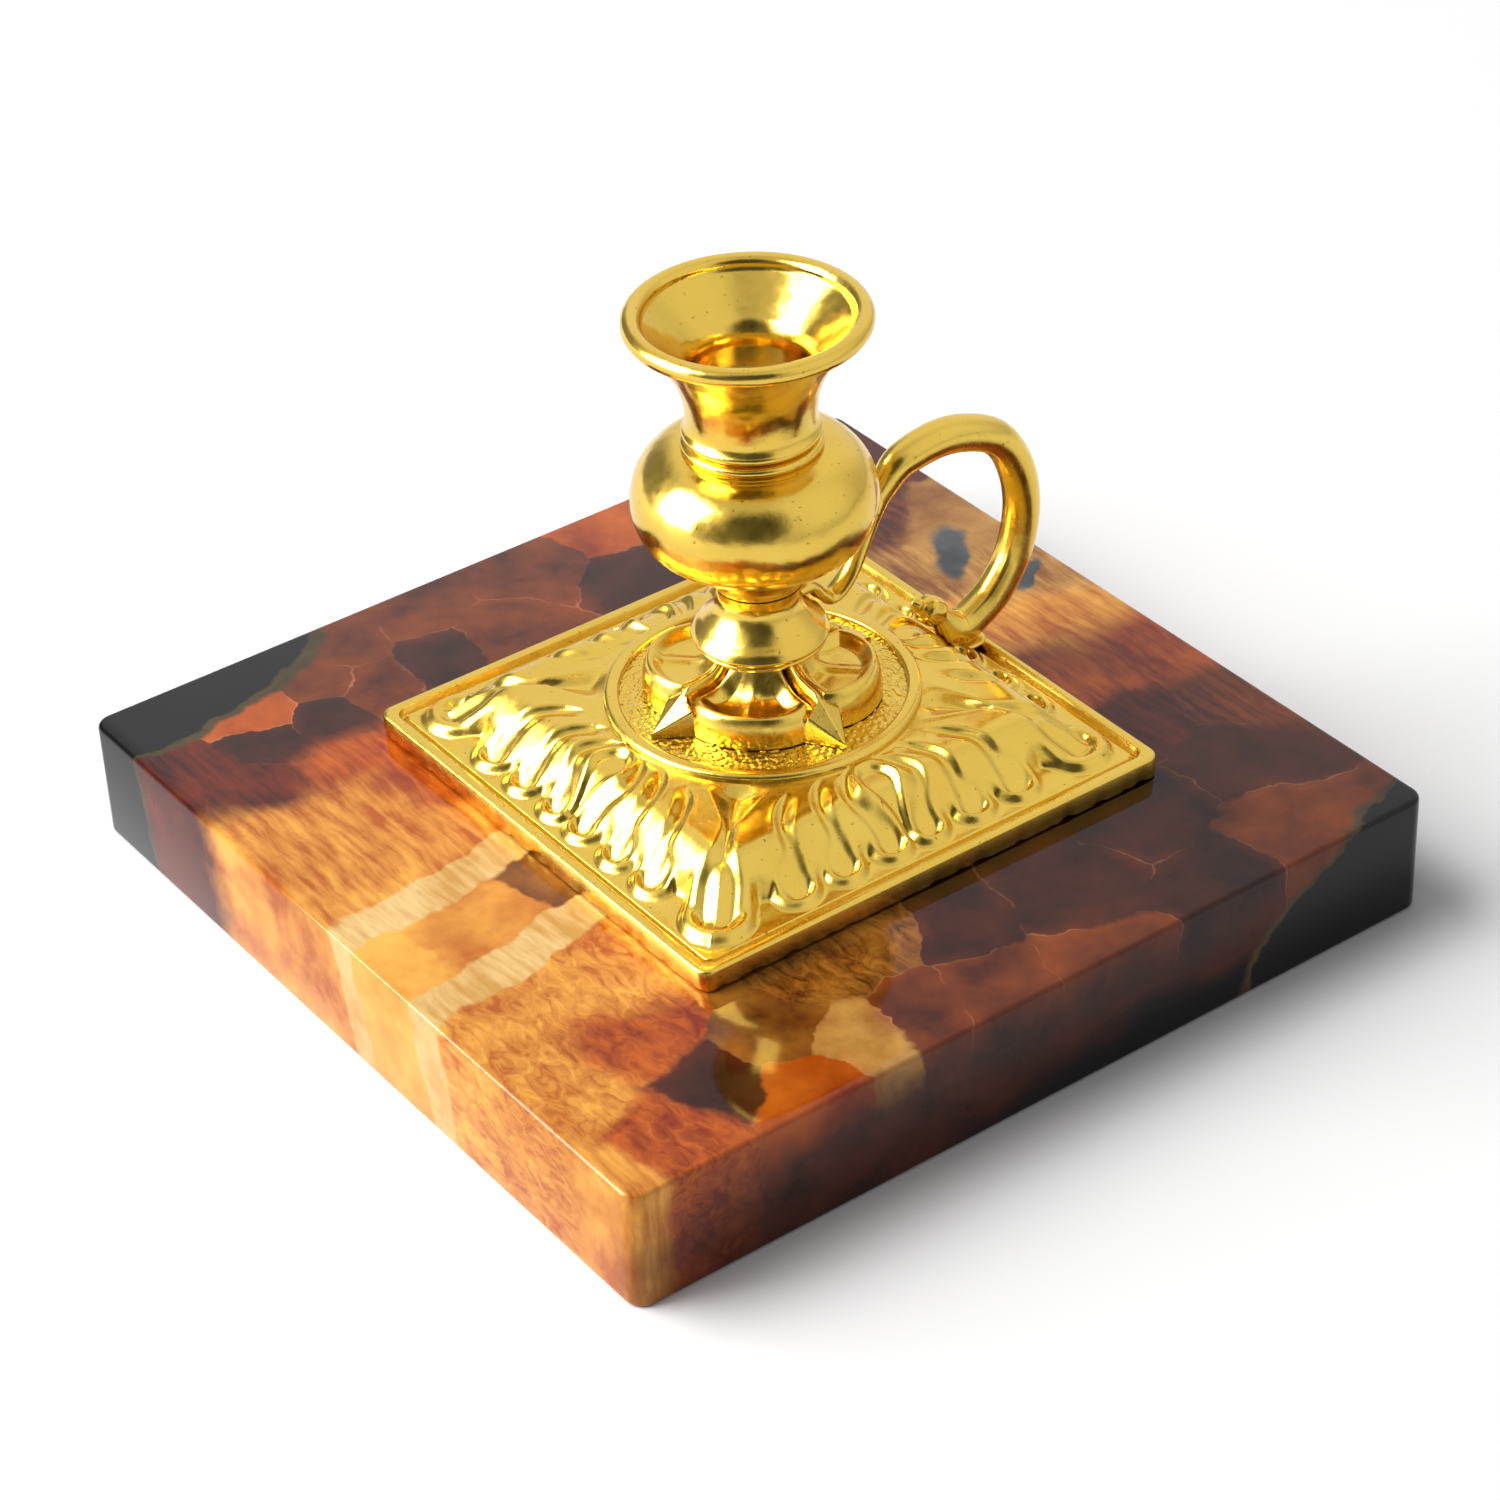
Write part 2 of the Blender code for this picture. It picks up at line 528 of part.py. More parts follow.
def handle_points():
    """Return (x, z, radius) points of the handle's centre line, from the tenon to the bud."""
    root = KNOP_BASE + HANDLE_ROOT_HEIGHT
    thin = HANDLE_ROOT_RADIUS
    bar = HANDLE_RADIUS
    edge = FOOT_SIDE / 2.0
    seat = LIP_TOP + SEAM_GAP + bar
    top = FOOT_BASE + HANDLE_TOP
    shoulder = BULB_RADIUS + HANDLE_BULB_GAP + bar
    outer = edge + HANDLE_OVERHANG
    rivet = edge - RIVET_INSET
    crest = blend(shoulder, outer, 0.37)
    dip = KNOP_RADIUS + HANDLE_DIP_GAP + thin
    strip = root + HANDLE_STRIP_RISE
    points = [(BORE_RADIUS + HANDLE_TENON_WALL + SOCKET_CLEARANCE, root, thin),
              (KNOP_SHOULDER_RADIUS, root, thin),
              (blend(KNOP_SHOULDER_RADIUS, dip, 0.5), root - 0.55 * HANDLE_DIP, thin),
              (dip, root - HANDLE_DIP, thin),
              (dip + 1.8 * thin, root - 0.85 * HANDLE_DIP, thin),
              (blend(dip, shoulder, 0.3), root - 0.2 * HANDLE_DIP, thin),
              (blend(dip, shoulder, 0.44), root + 0.4 * HANDLE_STRIP_RISE, 1.1 * thin),
              (blend(dip, shoulder, 0.6), strip, blend(thin, bar, 0.3)),
              (blend(dip, shoulder, 0.76), blend(strip, top, 0.46), blend(thin, bar, 0.6)),
              (shoulder, blend(strip, top, 0.87), blend(thin, bar, 0.88)),
              (crest, top, bar)]
    middle = blend(seat, top, 0.5)
    for angle in (54.0, 27.0, 0.0, -27.0, -52.0):
        turn = math.radians(angle)
        points.append((blend(crest, outer, math.cos(turn)),
                       middle + (top - middle) * math.sin(turn), bar))
    points.append((rivet, seat, bar))
    run, rise = -math.cos(BUD_RISE), math.sin(BUD_RISE)
    neck = (rivet + run * CURL_LENGTH, seat + rise * CURL_LENGTH)
    stages = ((0.0, BUD_NECK_RADIUS), (0.12, BUD_RADIUS * 0.9), (0.45, BUD_RADIUS),
              (0.8, BUD_RADIUS * 0.85), (1.0, BUD_TIP_RADIUS * 0.8))
    for share, radius in stages:
        points.append((neck[0] + run * share * BUD_LENGTH, neck[1] + rise * share * BUD_LENGTH,
                       radius))
    tip = BUD_LENGTH + BUD_TIP_LENGTH
    points.append((neck[0] + run * blend(BUD_LENGTH, tip, 0.5),
                   neck[1] + rise * blend(BUD_LENGTH, tip, 0.5), BUD_TIP_RADIUS))
    points.append((neck[0] + run * tip, neck[1] + rise * tip, BUD_TIP_RADIUS / 2.0))
    return points


def smooth_path(points):
    """Return (x, z, radius) stations of a smooth curve through the given points."""
    stations = []
    for i in range(len(points) - 1):
        before = points[max(i - 1, 0)]
        after = points[min(i + 2, len(points) - 1)]
        start, end = points[i], points[i + 1]
        span = math.dist(start[:2], end[:2])
        lead = min(span / max(math.dist(before[:2], start[:2]), span / 2.0), 1.0)
        trail = min(span / max(math.dist(end[:2], after[:2]), span / 2.0), 1.0)
        steps = max(1, min(SPAN_STEPS, round(span / (0.8 * MM))))
        for j in range(steps):
            t = j / steps
            station = []
            for k in range(3):
                leave = (end[k] - before[k]) / 2.0 * (lead if i else 1.0)
                arrive = (after[k] - start[k]) / 2.0 * trail
                station.append((2 * t ** 3 - 3 * t ** 2 + 1) * start[k]
                               + (t ** 3 - 2 * t ** 2 + t) * leave
                               + (3 * t ** 2 - 2 * t ** 3) * end[k] + (t ** 3 - t ** 2) * arrive)
            stations.append(station)
    stations.append(points[-1])
    return stations


def build_handle(material, axis):
    """Sweep the handle along its path, from the tenon round the loop to the bud."""
    bm = bmesh.new()
    stations = smooth_path(handle_points())
    rings = []
    for i, (x, z, radius) in enumerate(stations):
        before = stations[max(i - 1, 0)]
        after = stations[min(i + 1, len(stations) - 1)]
        along = Vector((after[0] - before[0], after[1] - before[1])).normalized()
        ring = []
        for j in range(HANDLE_SECTION):
            turn = 2.0 * math.pi * j / HANDLE_SECTION
            out = radius * math.cos(turn)
            ring.append(bm.verts.new((x - along.y * out, radius * math.sin(turn),
                                      z + along.x * out)))
        rings.append(ring)
    for i in range(1, len(rings)):
        skin(bm, rings[i - 1], rings[i])
    bm.faces.new(rings[0])
    bm.faces.new(rings[-1])
    handle = make_object("handle", bm, material, axis)
    place = FOOT_SIDE / 2.0 - RIVET_INSET
    seat = LIP_TOP + SEAM_GAP + HANDLE_RADIUS
    hole = make_cutter("handle_rivet_hole", RIVET_RADIUS + SOCKET_CLEARANCE,
                       (place, 0.0, seat - 2.0 * HANDLE_RADIUS),
                       (place, 0.0, seat - HANDLE_RADIUS + RIVET_GRIP + SEAM_GAP), axis)
    cut(handle, hole)


def build_rivet(material, axis):
    """Build the rivet that ties the handle's curl to the foot plate."""
    place = FOOT_SIDE / 2.0 - RIVET_INSET
    low = FOOT_BASE + RIVET_LIFT
    high = LIP_TOP + SEAM_GAP + RIVET_GRIP
    bm = bmesh.new()
    bmesh.ops.create_cone(bm, cap_ends=True, segments=TURN_STEPS // 2, radius1=RIVET_RADIUS,
                          radius2=RIVET_RADIUS, depth=high - low,
                          matrix=Matrix.Translation((place, 0.0, (low + high) / 2.0)))
    make_object("handle_rivet", bm, material, axis)


def build_screw(material, axis):
    """Build the long screw with its slotted cheese head in the bottom of the socket."""
    seat = SOCKET_FLOOR + SEAM_GAP
    bm = bmesh.new()
    chamfer = SCREW_TAIL / 2.0
    profile = [(0.0, SCREW_END), (SCREW_RADIUS - chamfer, SCREW_END),
               (SCREW_RADIUS, SCREW_END + chamfer), (SCREW_RADIUS, seat),
               (SCREW_HEAD_RADIUS, seat), (SCREW_HEAD_RADIUS, seat + SCREW_HEAD_HEIGHT * 0.8),
               (SCREW_HEAD_RADIUS * 0.92, seat + SCREW_HEAD_HEIGHT), (0.0, seat + SCREW_HEAD_HEIGHT)]
    verts = [bm.verts.new((r, 0.0, z)) for r, z in profile]
    edges = [bm.edges.new(pair) for pair in zip(verts, verts[1:])]
    bmesh.ops.spin(bm, geom=verts + edges, cent=(0.0, 0.0, 0.0), axis=(0.0, 0.0, 1.0),
                   angle=2.0 * math.pi, steps=TURN_STEPS // 2, use_merge=True)
    bmesh.ops.remove_doubles(bm, verts=bm.verts, dist=1e-6)
    screw = make_object("tie_screw", bm, material, axis)
    slot = bmesh.new()
    size = Matrix.Diagonal((4.0 * SCREW_HEAD_RADIUS, SCREW_SLOT_WIDTH, 2.0 * SCREW_SLOT_DEPTH, 1.0))
    lift = Matrix.Translation((0.0, 0.0, seat + SCREW_HEAD_HEIGHT))
    bmesh.ops.create_cube(slot, size=1.0, matrix=lift @ size)
    cutter = make_object("screw_slot", slot, None, axis)
    cutter.hide_render = True
    cutter.display_type = "WIRE"
    cut(screw, cutter)


def build_washers(plain, sprung, axis):
    """Build the plain washer and the split lock washer under it."""
    low = WASHER_TOP - WASHER_THICK
    turned("tie_washer", [(BORE_RADIUS, WASHER_TOP), (WASHER_RADIUS, WASHER_TOP),
                          (WASHER_RADIUS, low), (BORE_RADIUS, low)], plain, axis)
    low = LOCK_WASHER_TOP - LOCK_WASHER_THICK
    split = math.asin(LOCK_WASHER_SPLIT / LOCK_WASHER_RADIUS)
    bm = bmesh.new()
    corners = ((BORE_RADIUS, LOCK_WASHER_TOP), (LOCK_WASHER_RADIUS, LOCK_WASHER_TOP),
               (LOCK_WASHER_RADIUS, low), (BORE_RADIUS, low))
    rings = []
    for i in range(TURN_STEPS // 2 + 1):
        angle = blend(split, 2.0 * math.pi, i / (TURN_STEPS // 2))
        rings.append([bm.verts.new((r * math.cos(angle), r * math.sin(angle), z))
                      for r, z in corners])
    for i in range(1, len(rings)):
        skin(bm, rings[i - 1], rings[i])
    bm.faces.new(rings[0])
    bm.faces.new(rings[-1])
    make_object("lock_washer", bm, sprung, axis)


def build_nut(material, axis):
    """Build the hexagon nut that draws the stack tight."""
    radius = NUT_ACROSS_FLATS / math.sqrt(3.0)
    low = NUT_TOP - NUT_HEIGHT
    bm = bmesh.new()
    count = TURN_STEPS // 2
    loops = []
    for bore, height in ((True, NUT_TOP), (False, NUT_TOP), (False, low), (True, low)):
        loop = []
        for i in range(count):
            angle = 2.0 * math.pi * i / count
            off_flat = (angle % (math.pi / 3.0)) - math.pi / 6.0
            reach = BORE_RADIUS if bore else radius * math.cos(math.pi / 6.0) / math.cos(off_flat)
            loop.append(bm.verts.new((reach * math.cos(angle), reach * math.sin(angle), height)))
        loops.append(loop)
    for i in range(len(loops)):
        skin(bm, loops[i - 1], loops[i])
    make_object("tie_nut", bm, material, axis)


def main():
    """Build every piece of the candlestick."""
    clear_scene()
    axis = bpy.data.objects.new("candle_axis", None)
    axis.location = (AXIS_X, AXIS_Y, 0.0)
    bpy.context.scene.collection.objects.link(axis)
    build_slab(make_material("polished_amber_stone", "#8A4A1E", 0.12, 0.0), axis)
    build_foot(make_material("gilt_brass_foot", "#E3C244", 0.22, 1.0), axis)
    build_rosette(make_material("gilt_brass_rosette", "#E5C54A", 0.2, 1.0), axis)
    build_knop(make_material("gilt_brass_knop", "#E6C648", 0.16, 1.0), axis)
    build_bulb(make_material("gilt_brass_bulb", "#E6C648", 0.14, 1.0), axis)
    build_nozzle(make_material("gilt_brass_nozzle", "#E6C648", 0.16, 1.0), axis)
    build_handle(make_material("gilt_brass_handle", "#E2C142", 0.2, 1.0), axis)
    build_rivet(make_material("gilt_brass_rivet", "#D9B638", 0.28, 1.0), axis)
    build_screw(make_material("plated_steel_screw", "#B9BABC", 0.3, 1.0), axis)
    build_washers(make_material("plated_steel_washer", "#B4B5B8", 0.35, 1.0),
                  make_material("blued_spring_steel", "#5A5C62", 0.4, 1.0), axis)
    build_nut(make_material("plated_steel_nut", "#B9BABC", 0.32, 1.0), axis)
    bpy.context.view_layer.update()


main()
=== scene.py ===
"""Looks of a chamber candlestick: gilt brass castings on a square slab of polished stone.

The classes hold their sizes in millimetres, as a maker would write them.  Every piece is modelled
round the candle axis, or round the middle of the slab, and is scaled to metres and moved to its
place when it is finished.  Heights of the stack come from the frame, so they follow the solids.
"""
from __future__ import annotations

import logging
import math
from dataclasses import dataclass
from enum import Enum
from typing import Any, Sequence

import bmesh
import bpy
import numpy as np
from mathutils import Euler, Matrix, Vector, noise

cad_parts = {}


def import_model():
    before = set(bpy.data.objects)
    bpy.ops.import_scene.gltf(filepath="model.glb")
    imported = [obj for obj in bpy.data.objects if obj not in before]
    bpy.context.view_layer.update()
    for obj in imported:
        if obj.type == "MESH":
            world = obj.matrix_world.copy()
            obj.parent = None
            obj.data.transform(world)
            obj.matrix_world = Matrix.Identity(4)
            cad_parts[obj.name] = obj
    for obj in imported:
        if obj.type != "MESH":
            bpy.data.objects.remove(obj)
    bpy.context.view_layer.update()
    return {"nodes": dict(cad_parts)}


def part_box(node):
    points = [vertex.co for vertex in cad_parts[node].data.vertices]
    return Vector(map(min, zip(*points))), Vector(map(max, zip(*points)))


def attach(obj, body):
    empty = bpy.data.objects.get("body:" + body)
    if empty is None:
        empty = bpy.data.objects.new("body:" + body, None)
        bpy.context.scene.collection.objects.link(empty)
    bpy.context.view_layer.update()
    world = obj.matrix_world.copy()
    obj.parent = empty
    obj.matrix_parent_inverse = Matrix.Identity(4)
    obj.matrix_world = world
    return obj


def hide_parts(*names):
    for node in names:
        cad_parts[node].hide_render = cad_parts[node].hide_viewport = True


MM = 0.001
BODY = "root"
SHADER = "Principled BSDF"
WELD = 1e-5                     # points nearer to each other than this, in mm, become one
ENDLESS = 1.0e6                 # half height in mm of a vein that runs right through the slab
QUARTER = math.pi / 2.0
ROOT_2 = math.sqrt(2.0)
LOG = logging.getLogger("candlestick")

Point = tuple[float, float]
Points = tuple[Point, ...]
Tree = bpy.types.NodeTree
Socket = bpy.types.NodeSocket


class Slot(Enum):
    """Names of the record's material slots."""

    STONE = "stone"
    GILT = "gilt_brass"


class Figure(Enum):
    """How a part of the stone is figured inside."""

    FIBRE = "fibre"
    SCALE = "scale"
    CLOUD = "cloud"


class Tint(Enum):
    """The stone's colours, each from its dark to its light end."""

    JET = ("#030304", "#0C0B0D")
    OLIVE = ("#22180C", "#584722")
    UMBER = ("#1E0602", "#52200C")
    MAROON = ("#360A04", "#702409")
    BROWN = ("#461604", "#8C400F")
    RUST = ("#842A04", "#C86014")
    GOLDEN = ("#4A1E06", "#A86822")
    OCHRE = ("#8A5018", "#D29E50")
    AMBER = ("#B4580F", "#F4AE46")
    HONEY = ("#D2801C", "#F8BC54")
    CREAM = ("#CC9848", "#EECA88")
    SLATE = ("#22262C", "#5E6268")


def linear(hex_colour: str) -> tuple[float, float, float, float]:
    """Turn an sRGB hex colour into linear light.

    Args:
        hex_colour: A colour such as "#E3C244".

    Returns:
        The linear red, green, blue and an alpha of 1.
    """
    channels = [int(hex_colour[i:i + 2], 16) / 255.0 for i in (1, 3, 5)]
    light = [c / 12.92 if c <= 0.04045 else ((c + 0.055) / 1.055) ** 2.4 for c in channels]
    return (light[0], light[1], light[2], 1.0)


def per_mm(size: float) -> float:
    """Return the texture scale at which a pattern repeats about every so many millimetres."""
    return 1.0 / (size * MM)


def set_inputs(tree: Tree, node: bpy.types.Node, inputs: dict[str | int, Any]) -> None:
    """Set or link a node's inputs.

    Args:
        tree: The node tree that holds the node.
        node: The node.
        inputs: Values or output sockets, by the name or number of the input they go to.
    """
    for key, value in inputs.items():
        if isinstance(value, Socket):
            tree.links.new(value, node.inputs[key])
        else:
            node.inputs[key].default_value = value


def add_node(tree: Tree, kind: str, inputs: dict[str | int, Any] | None = None,
             **settings: Any) -> bpy.types.Node:
    """Add a node, set its properties and fill or link its inputs.

    Args:
        tree: The node tree that gets the node.
        kind: The node's type name.
        inputs: Values or output sockets, by the name or number of the input they go to.
        **settings: Properties of the node itself.

    Returns:
        The new node.
    """
    node = tree.nodes.new(kind)
    for name, value in settings.items():
        setattr(node, name, value)
    set_inputs(tree, node, inputs or {})
    return node


def new_material(name: str, constants: dict[str | int, Any]) -> bpy.types.Material:
    """Make a node material.

    Args:
        name: Its name.
        constants: Values of the shader's inputs, by name.

    Returns:
        The material.
    """
    material = bpy.data.materials.new(name)
    material.use_nodes = True
    set_inputs(material.node_tree, material.node_tree.nodes[SHADER], constants)
    return material


def object_place(tree: Tree) -> Socket:
    """Return the piece's own coordinates."""
    return add_node(tree, "ShaderNodeTexCoord").outputs["Object"]


def speckle(tree: Tree, place: Socket, size: float, detail: float, **more: float) -> Socket:
    """Return noise whose waves are about so many millimetres long."""
    return add_node(tree, "ShaderNodeTexNoise", {"Vector": place, "Scale": per_mm(size),
                                                 "Detail": detail, **more}).outputs[0]


def mix(tree: Tree, share: Any, start: Any, end: Any, way: str = "MIX") -> Socket:
    """Return a colour mixed from two by a share."""
    return add_node(tree, "ShaderNodeMix", {0: share, 6: start, 7: end}, data_type="RGBA",
                    blend_type=way).outputs[2]


def ramp(tree: Tree, value: Socket, start: Point, end: Point = (0.0, 1.0),
         kind: str = "LINEAR") -> Socket:
    """Return a value carried over from one range to another."""
    return add_node(tree, "ShaderNodeMapRange",
                    {"Value": value, "From Min": start[0], "From Max": start[1],
                     "To Min": end[0], "To Max": end[1]}, interpolation_type=kind).outputs[0]


def compute(tree: Tree, operation: str, *values: Any) -> Socket:
    """Return what an operation on single values gives."""
    return add_node(tree, "ShaderNodeMath", dict(enumerate(values)), operation=operation).outputs[0]


def vector_math(tree: Tree, operation: str, *values: Any) -> bpy.types.Node:
    """Return a node that works on vectors."""
    return add_node(tree, "ShaderNodeVectorMath", dict(enumerate(values)), operation=operation)


def emboss(tree: Tree, height: Socket, depth: float, under: Socket | None = None) -> Socket:
    """Return the normals of a relief of so many millimetres, over another one if there is one.

    Args:
        tree: The material's node tree.
        height: The relief, from 0 to 1.
        depth: Its depth in millimetres.
        under: Normals of the relief under it.

    Returns:
        The normals.
    """
    inputs = {"Height": height, "Strength": 1.0, "Distance": depth * MM}
    if under is not None:
        inputs["Normal"] = under
    return add_node(tree, "ShaderNodeBump", inputs).outputs[0]


def blend(start: Any, end: Any, share: Any) -> Any:
    """Return the value a share of the way from start to end."""
    return start + (end - start) * share


def ease(low: float, high: float, value: Any) -> Any:
    """Return 0 at low, 1 at high and a smooth change between them, whichever is the larger."""
    share = np.clip((value - low) / (high - low), 0.0, 1.0)
    return share * share * (3.0 - 2.0 * share)


def bump(distance: Any, width: float) -> Any:
    """Return a smooth hump that is 1 at no distance and fades over a width."""
    return np.exp(-(distance / width) ** 2)


def arc(centre: Point, radii: Point, first: float, last: float, steps: int) -> list[Point]:
    """Return points of an elliptic arc.

    Args:
        centre: Centre of the ellipse.
        radii: Its two half axes.
        first: Angle of the first point in degrees.
        last: Angle of the last point in degrees.
        steps: Number of straight pieces.

    Returns:
        The points, both ends included.
    """
    turns = [math.radians(blend(first, last, i / steps)) for i in range(steps + 1)]
    return [(centre[0] + radii[0] * math.cos(t), centre[1] + radii[1] * math.sin(t)) for t in turns]


def curve(points: Sequence[Sequence[float]], steps: int) -> np.ndarray:
    """Return a smooth curve through the given points.

    Args:
        points: The points that the curve passes through.
        steps: Number of pieces between neighbouring points.

    Returns:
        One row for each point of the curve.
    """
    knots = np.array(points, dtype=float)
    rows = []
    for i in range(len(knots) - 1):
        before, after = knots[max(i - 1, 0)], knots[min(i + 2, len(knots) - 1)]
        start, end = knots[i], knots[i + 1]
        span = np.linalg.norm(end[:2] - start[:2])
        leave = (end - before) / 2.0 * min(1.0, 2.0 * span / np.linalg.norm(end[:2] - before[:2]))
        arrive = (after - start) / 2.0 * min(1.0, 2.0 * span / np.linalg.norm(after[:2] - start[:2]))
        for j in range(steps):
            t = j / steps
            rows.append((2 * t ** 3 - 3 * t ** 2 + 1) * start + (t ** 3 - 2 * t ** 2 + t) * leave
                        + (3 * t ** 2 - 2 * t ** 3) * end + (t ** 3 - t ** 2) * arrive)
    rows.append(knots[-1])
    return np.array(rows)


def loft(rings: Sequence[np.ndarray], closed: bool) -> bmesh.types.BMesh:
    """Skin a row of rings by extruding each one into the next.

    Args:
        rings: Rings of points, all with as many points, in the order of the skin.
        closed: True where the last ring is joined to the first, and False where both are capped.

    Returns:
        The skin in a new bmesh.
    """
    bm = bmesh.new()
    order = bm.verts.layers.int.new("order")
    count = len(rings[0])
    verts = bmesh.ops.create_circle(bm, segments=count, radius=1.0)["verts"]
    for i, vert in enumerate(verts):
        vert[order] = i
        vert.co = rings[0][i]
    edges = bm.edges[:]
    first = edges
    for ring in [*rings[1:], *([rings[0]] if closed else [])]:
        made = bmesh.ops.extrude_edge_only(bm, edges=edges)["geom"]
        edges = [part for part in made if isinstance(part, bmesh.types.BMEdge)]
        for part in made:
            if isinstance(part, bmesh.types.BMVert):
                part.co = ring[part[order]]
    if not closed:
        bmesh.ops.contextual_create(bm, geom=first)
        bmesh.ops.contextual_create(bm, geom=edges)
    bmesh.ops.remove_doubles(bm, verts=bm.verts, dist=WELD)
    return bm


def spin(profile: Sequence[Point], steps: int) -> bmesh.types.BMesh:
    """Spin a closed profile of (radius, height) points round the candle axis.

    Args:
        profile: Corners of the profile in order.
        steps: Number of steps round the axis.

    Returns:
        The turned solid in a new bmesh.
    """
    bm = bmesh.new()
    verts = [bm.verts.new((radius, 0.0, height)) for radius, height in profile]
    edges = [bm.edges.new((verts[i - 1], verts[i])) for i in range(len(verts))]
    bmesh.ops.spin(bm, geom=verts + edges, cent=(0.0, 0.0, 0.0), axis=(0.0, 0.0, 1.0),
                   angle=2.0 * math.pi, steps=steps, use_merge=True)
    bmesh.ops.remove_doubles(bm, verts=bm.verts, dist=WELD)
    return bm


@dataclass(frozen=True)
class Stack:
    """Places of the stacked solids in millimetres, read from the frame."""

    axis: Point
    low: dict[str, float]
    high: dict[str, float]

    @classmethod
    def read(cls, nodes: Sequence[str]) -> Stack:
        """Read the candle axis and the height of every solid.

        Args:
            nodes: Names of the solids.

        Returns:
            The places, in millimetres.
        """
        boxes = {name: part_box(name) for name in nodes}
        corner, far = boxes["nozzle"]
        axis = ((corner[0] + far[0]) / 2.0 / MM, (corner[1] + far[1]) / 2.0 / MM)
        return cls(axis, {name: box[0][2] / MM for name, box in boxes.items()},
                   {name: box[1][2] / MM for name, box in boxes.items()})

    def seat(self, node: str) -> tuple[float, float, float]:
        """Return where the candle axis meets a solid's underside."""
        return (*self.axis, self.low[node])

    def tall(self, node: str) -> float:
        """Return a solid's height."""
        return self.high[node] - self.low[node]


def to_metres(bm: bmesh.types.BMesh, move: Sequence[float]) -> None:
    """Move a shape in millimetres to its place, scale it to metres and turn its faces outward.

    Args:
        bm: The shape.
        move: Place of its origin in millimetres.
    """
    bmesh.ops.translate(bm, verts=bm.verts, vec=Vector(move))
    bmesh.ops.scale(bm, verts=bm.verts, vec=(MM, MM, MM))
    bmesh.ops.recalc_face_normals(bm, faces=bm.faces)


def to_object(bm: bmesh.types.BMesh, name: str) -> bpy.types.Object:
    """Turn a bmesh into an object of the scene.

    Args:
        bm: The shape, which is used up.
        name: Name of the object.

    Returns:
        The new object.
    """
    mesh = bpy.data.meshes.new(name)
    bm.to_mesh(mesh)
    bm.free()
    made = bpy.data.objects.new(name, mesh)
    bpy.context.scene.collection.objects.link(made)
    return made


def soften_edges(mesh: bpy.types.Mesh, crease: float) -> None:
    """Shade a mesh smooth, with sharp edges from an angle in degrees."""
    mesh.shade_smooth()
    mesh.set_sharp_from_angle(angle=math.radians(crease))


def finish_piece(bm: bmesh.types.BMesh, name: str, material: bpy.types.Material,
                 move: Sequence[float], node: str | None = None,
                 crease: float = 40.0) -> bpy.types.Object:
    """Turn a bmesh in millimetres into a piece that rides on the body.

    Args:
        bm: The shape, which is used up.
        name: Name of the piece.
        material: Its finish.
        move: Place of the shape's origin in millimetres.
        node: The solid that the piece stands for, if any.
        crease: Angle in degrees from which an edge shows as sharp.

    Returns:
        The new object.
    """
    to_metres(bm, move)
    piece = to_object(bm, name)
    piece.data.materials.append(material)
    soften_edges(piece.data, crease)
    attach(piece, BODY)
    if node is not None:
        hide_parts(node)
    LOG.info("%s: %d faces", name, len(piece.data.polygons))
    return piece


@dataclass(frozen=True)
class GiltBrass:
    """Brass cast or turned, polished and gilt.

    The eye gets a warm yellow mirror that is never quite flat: the polish left a soft swell, the
    metal under it a fine grain; small scattered spots are a browner gold and wider patches duller.
    """

    name: str
    bright: str = "#EBCB60"
    deep: str = "#E2B94A"
    pit: str = "#8A5A18"
    stain: float = 9.0          # size of the patches of deeper gold
    smooth: float = 0.17
    dull: float = 0.3
    wear: float = 1.6           # size of the duller patches
    wear_range: Point = (0.35, 0.7)
    swell: float = 2.4          # size of the polish's waves
    swell_depth: float = 0.035
    grain: float = 0.4          # size of the casting's grain
    grain_depth: float = 0.008
    pit_size: float = 0.55
    pit_range: Point = (0.68, 0.76)
    pit_share: float = 0.7
    tool_pitch: float = 0.0     # spacing of turning marks, 0 where there are none
    tool_depth: float = 0.0012
    tool_stretch: float = 0.02  # how much slower the marks change round the piece than along it

    def material(self) -> bpy.types.Material:
        """Make the finish.

        Returns:
            A node material on Object coordinates.
        """
        material = new_material(self.name, {"Metallic": 1.0})
        tree = material.node_tree
        place = object_place(tree)
        tint = mix(tree, speckle(tree, place, self.stain, 3.0), linear(self.bright), linear(self.deep))
        pits = ramp(tree, speckle(tree, place, self.pit_size, 2.0), self.pit_range,
                    (0.0, self.pit_share))
        worn = speckle(tree, place, self.wear, 4.0, Roughness=0.65)
        relief = emboss(tree, speckle(tree, place, self.swell, 1.0), self.swell_depth)
        relief = emboss(tree, speckle(tree, place, self.grain, 2.0), self.grain_depth, relief)
        if self.tool_pitch:
            across = (self.tool_stretch, self.tool_stretch, 1.0)
            along = add_node(tree, "ShaderNodeMapping", {"Vector": place, "Scale": across}).outputs[0]
            relief = emboss(tree, speckle(tree, along, self.tool_pitch, 2.0), self.tool_depth, relief)
        set_inputs(tree, tree.nodes[SHADER],
                   {"Base Color": mix(tree, pits, tint, linear(self.pit)),
                    "Roughness": ramp(tree, worn, self.wear_range, (self.smooth, self.dull)),
                    "Normal": relief})
        return material


@dataclass(frozen=True)
class Shard:
    """A crystal of the stone: every place belongs to the shard whose middle is nearest."""

    place: Point
    tint: Tint
    figure: Figure = Figure.CLOUD
    soft: float = 0.15          # width over which it passes into its neighbours
    line: float = 1.0           # strength of the pale line along its edge


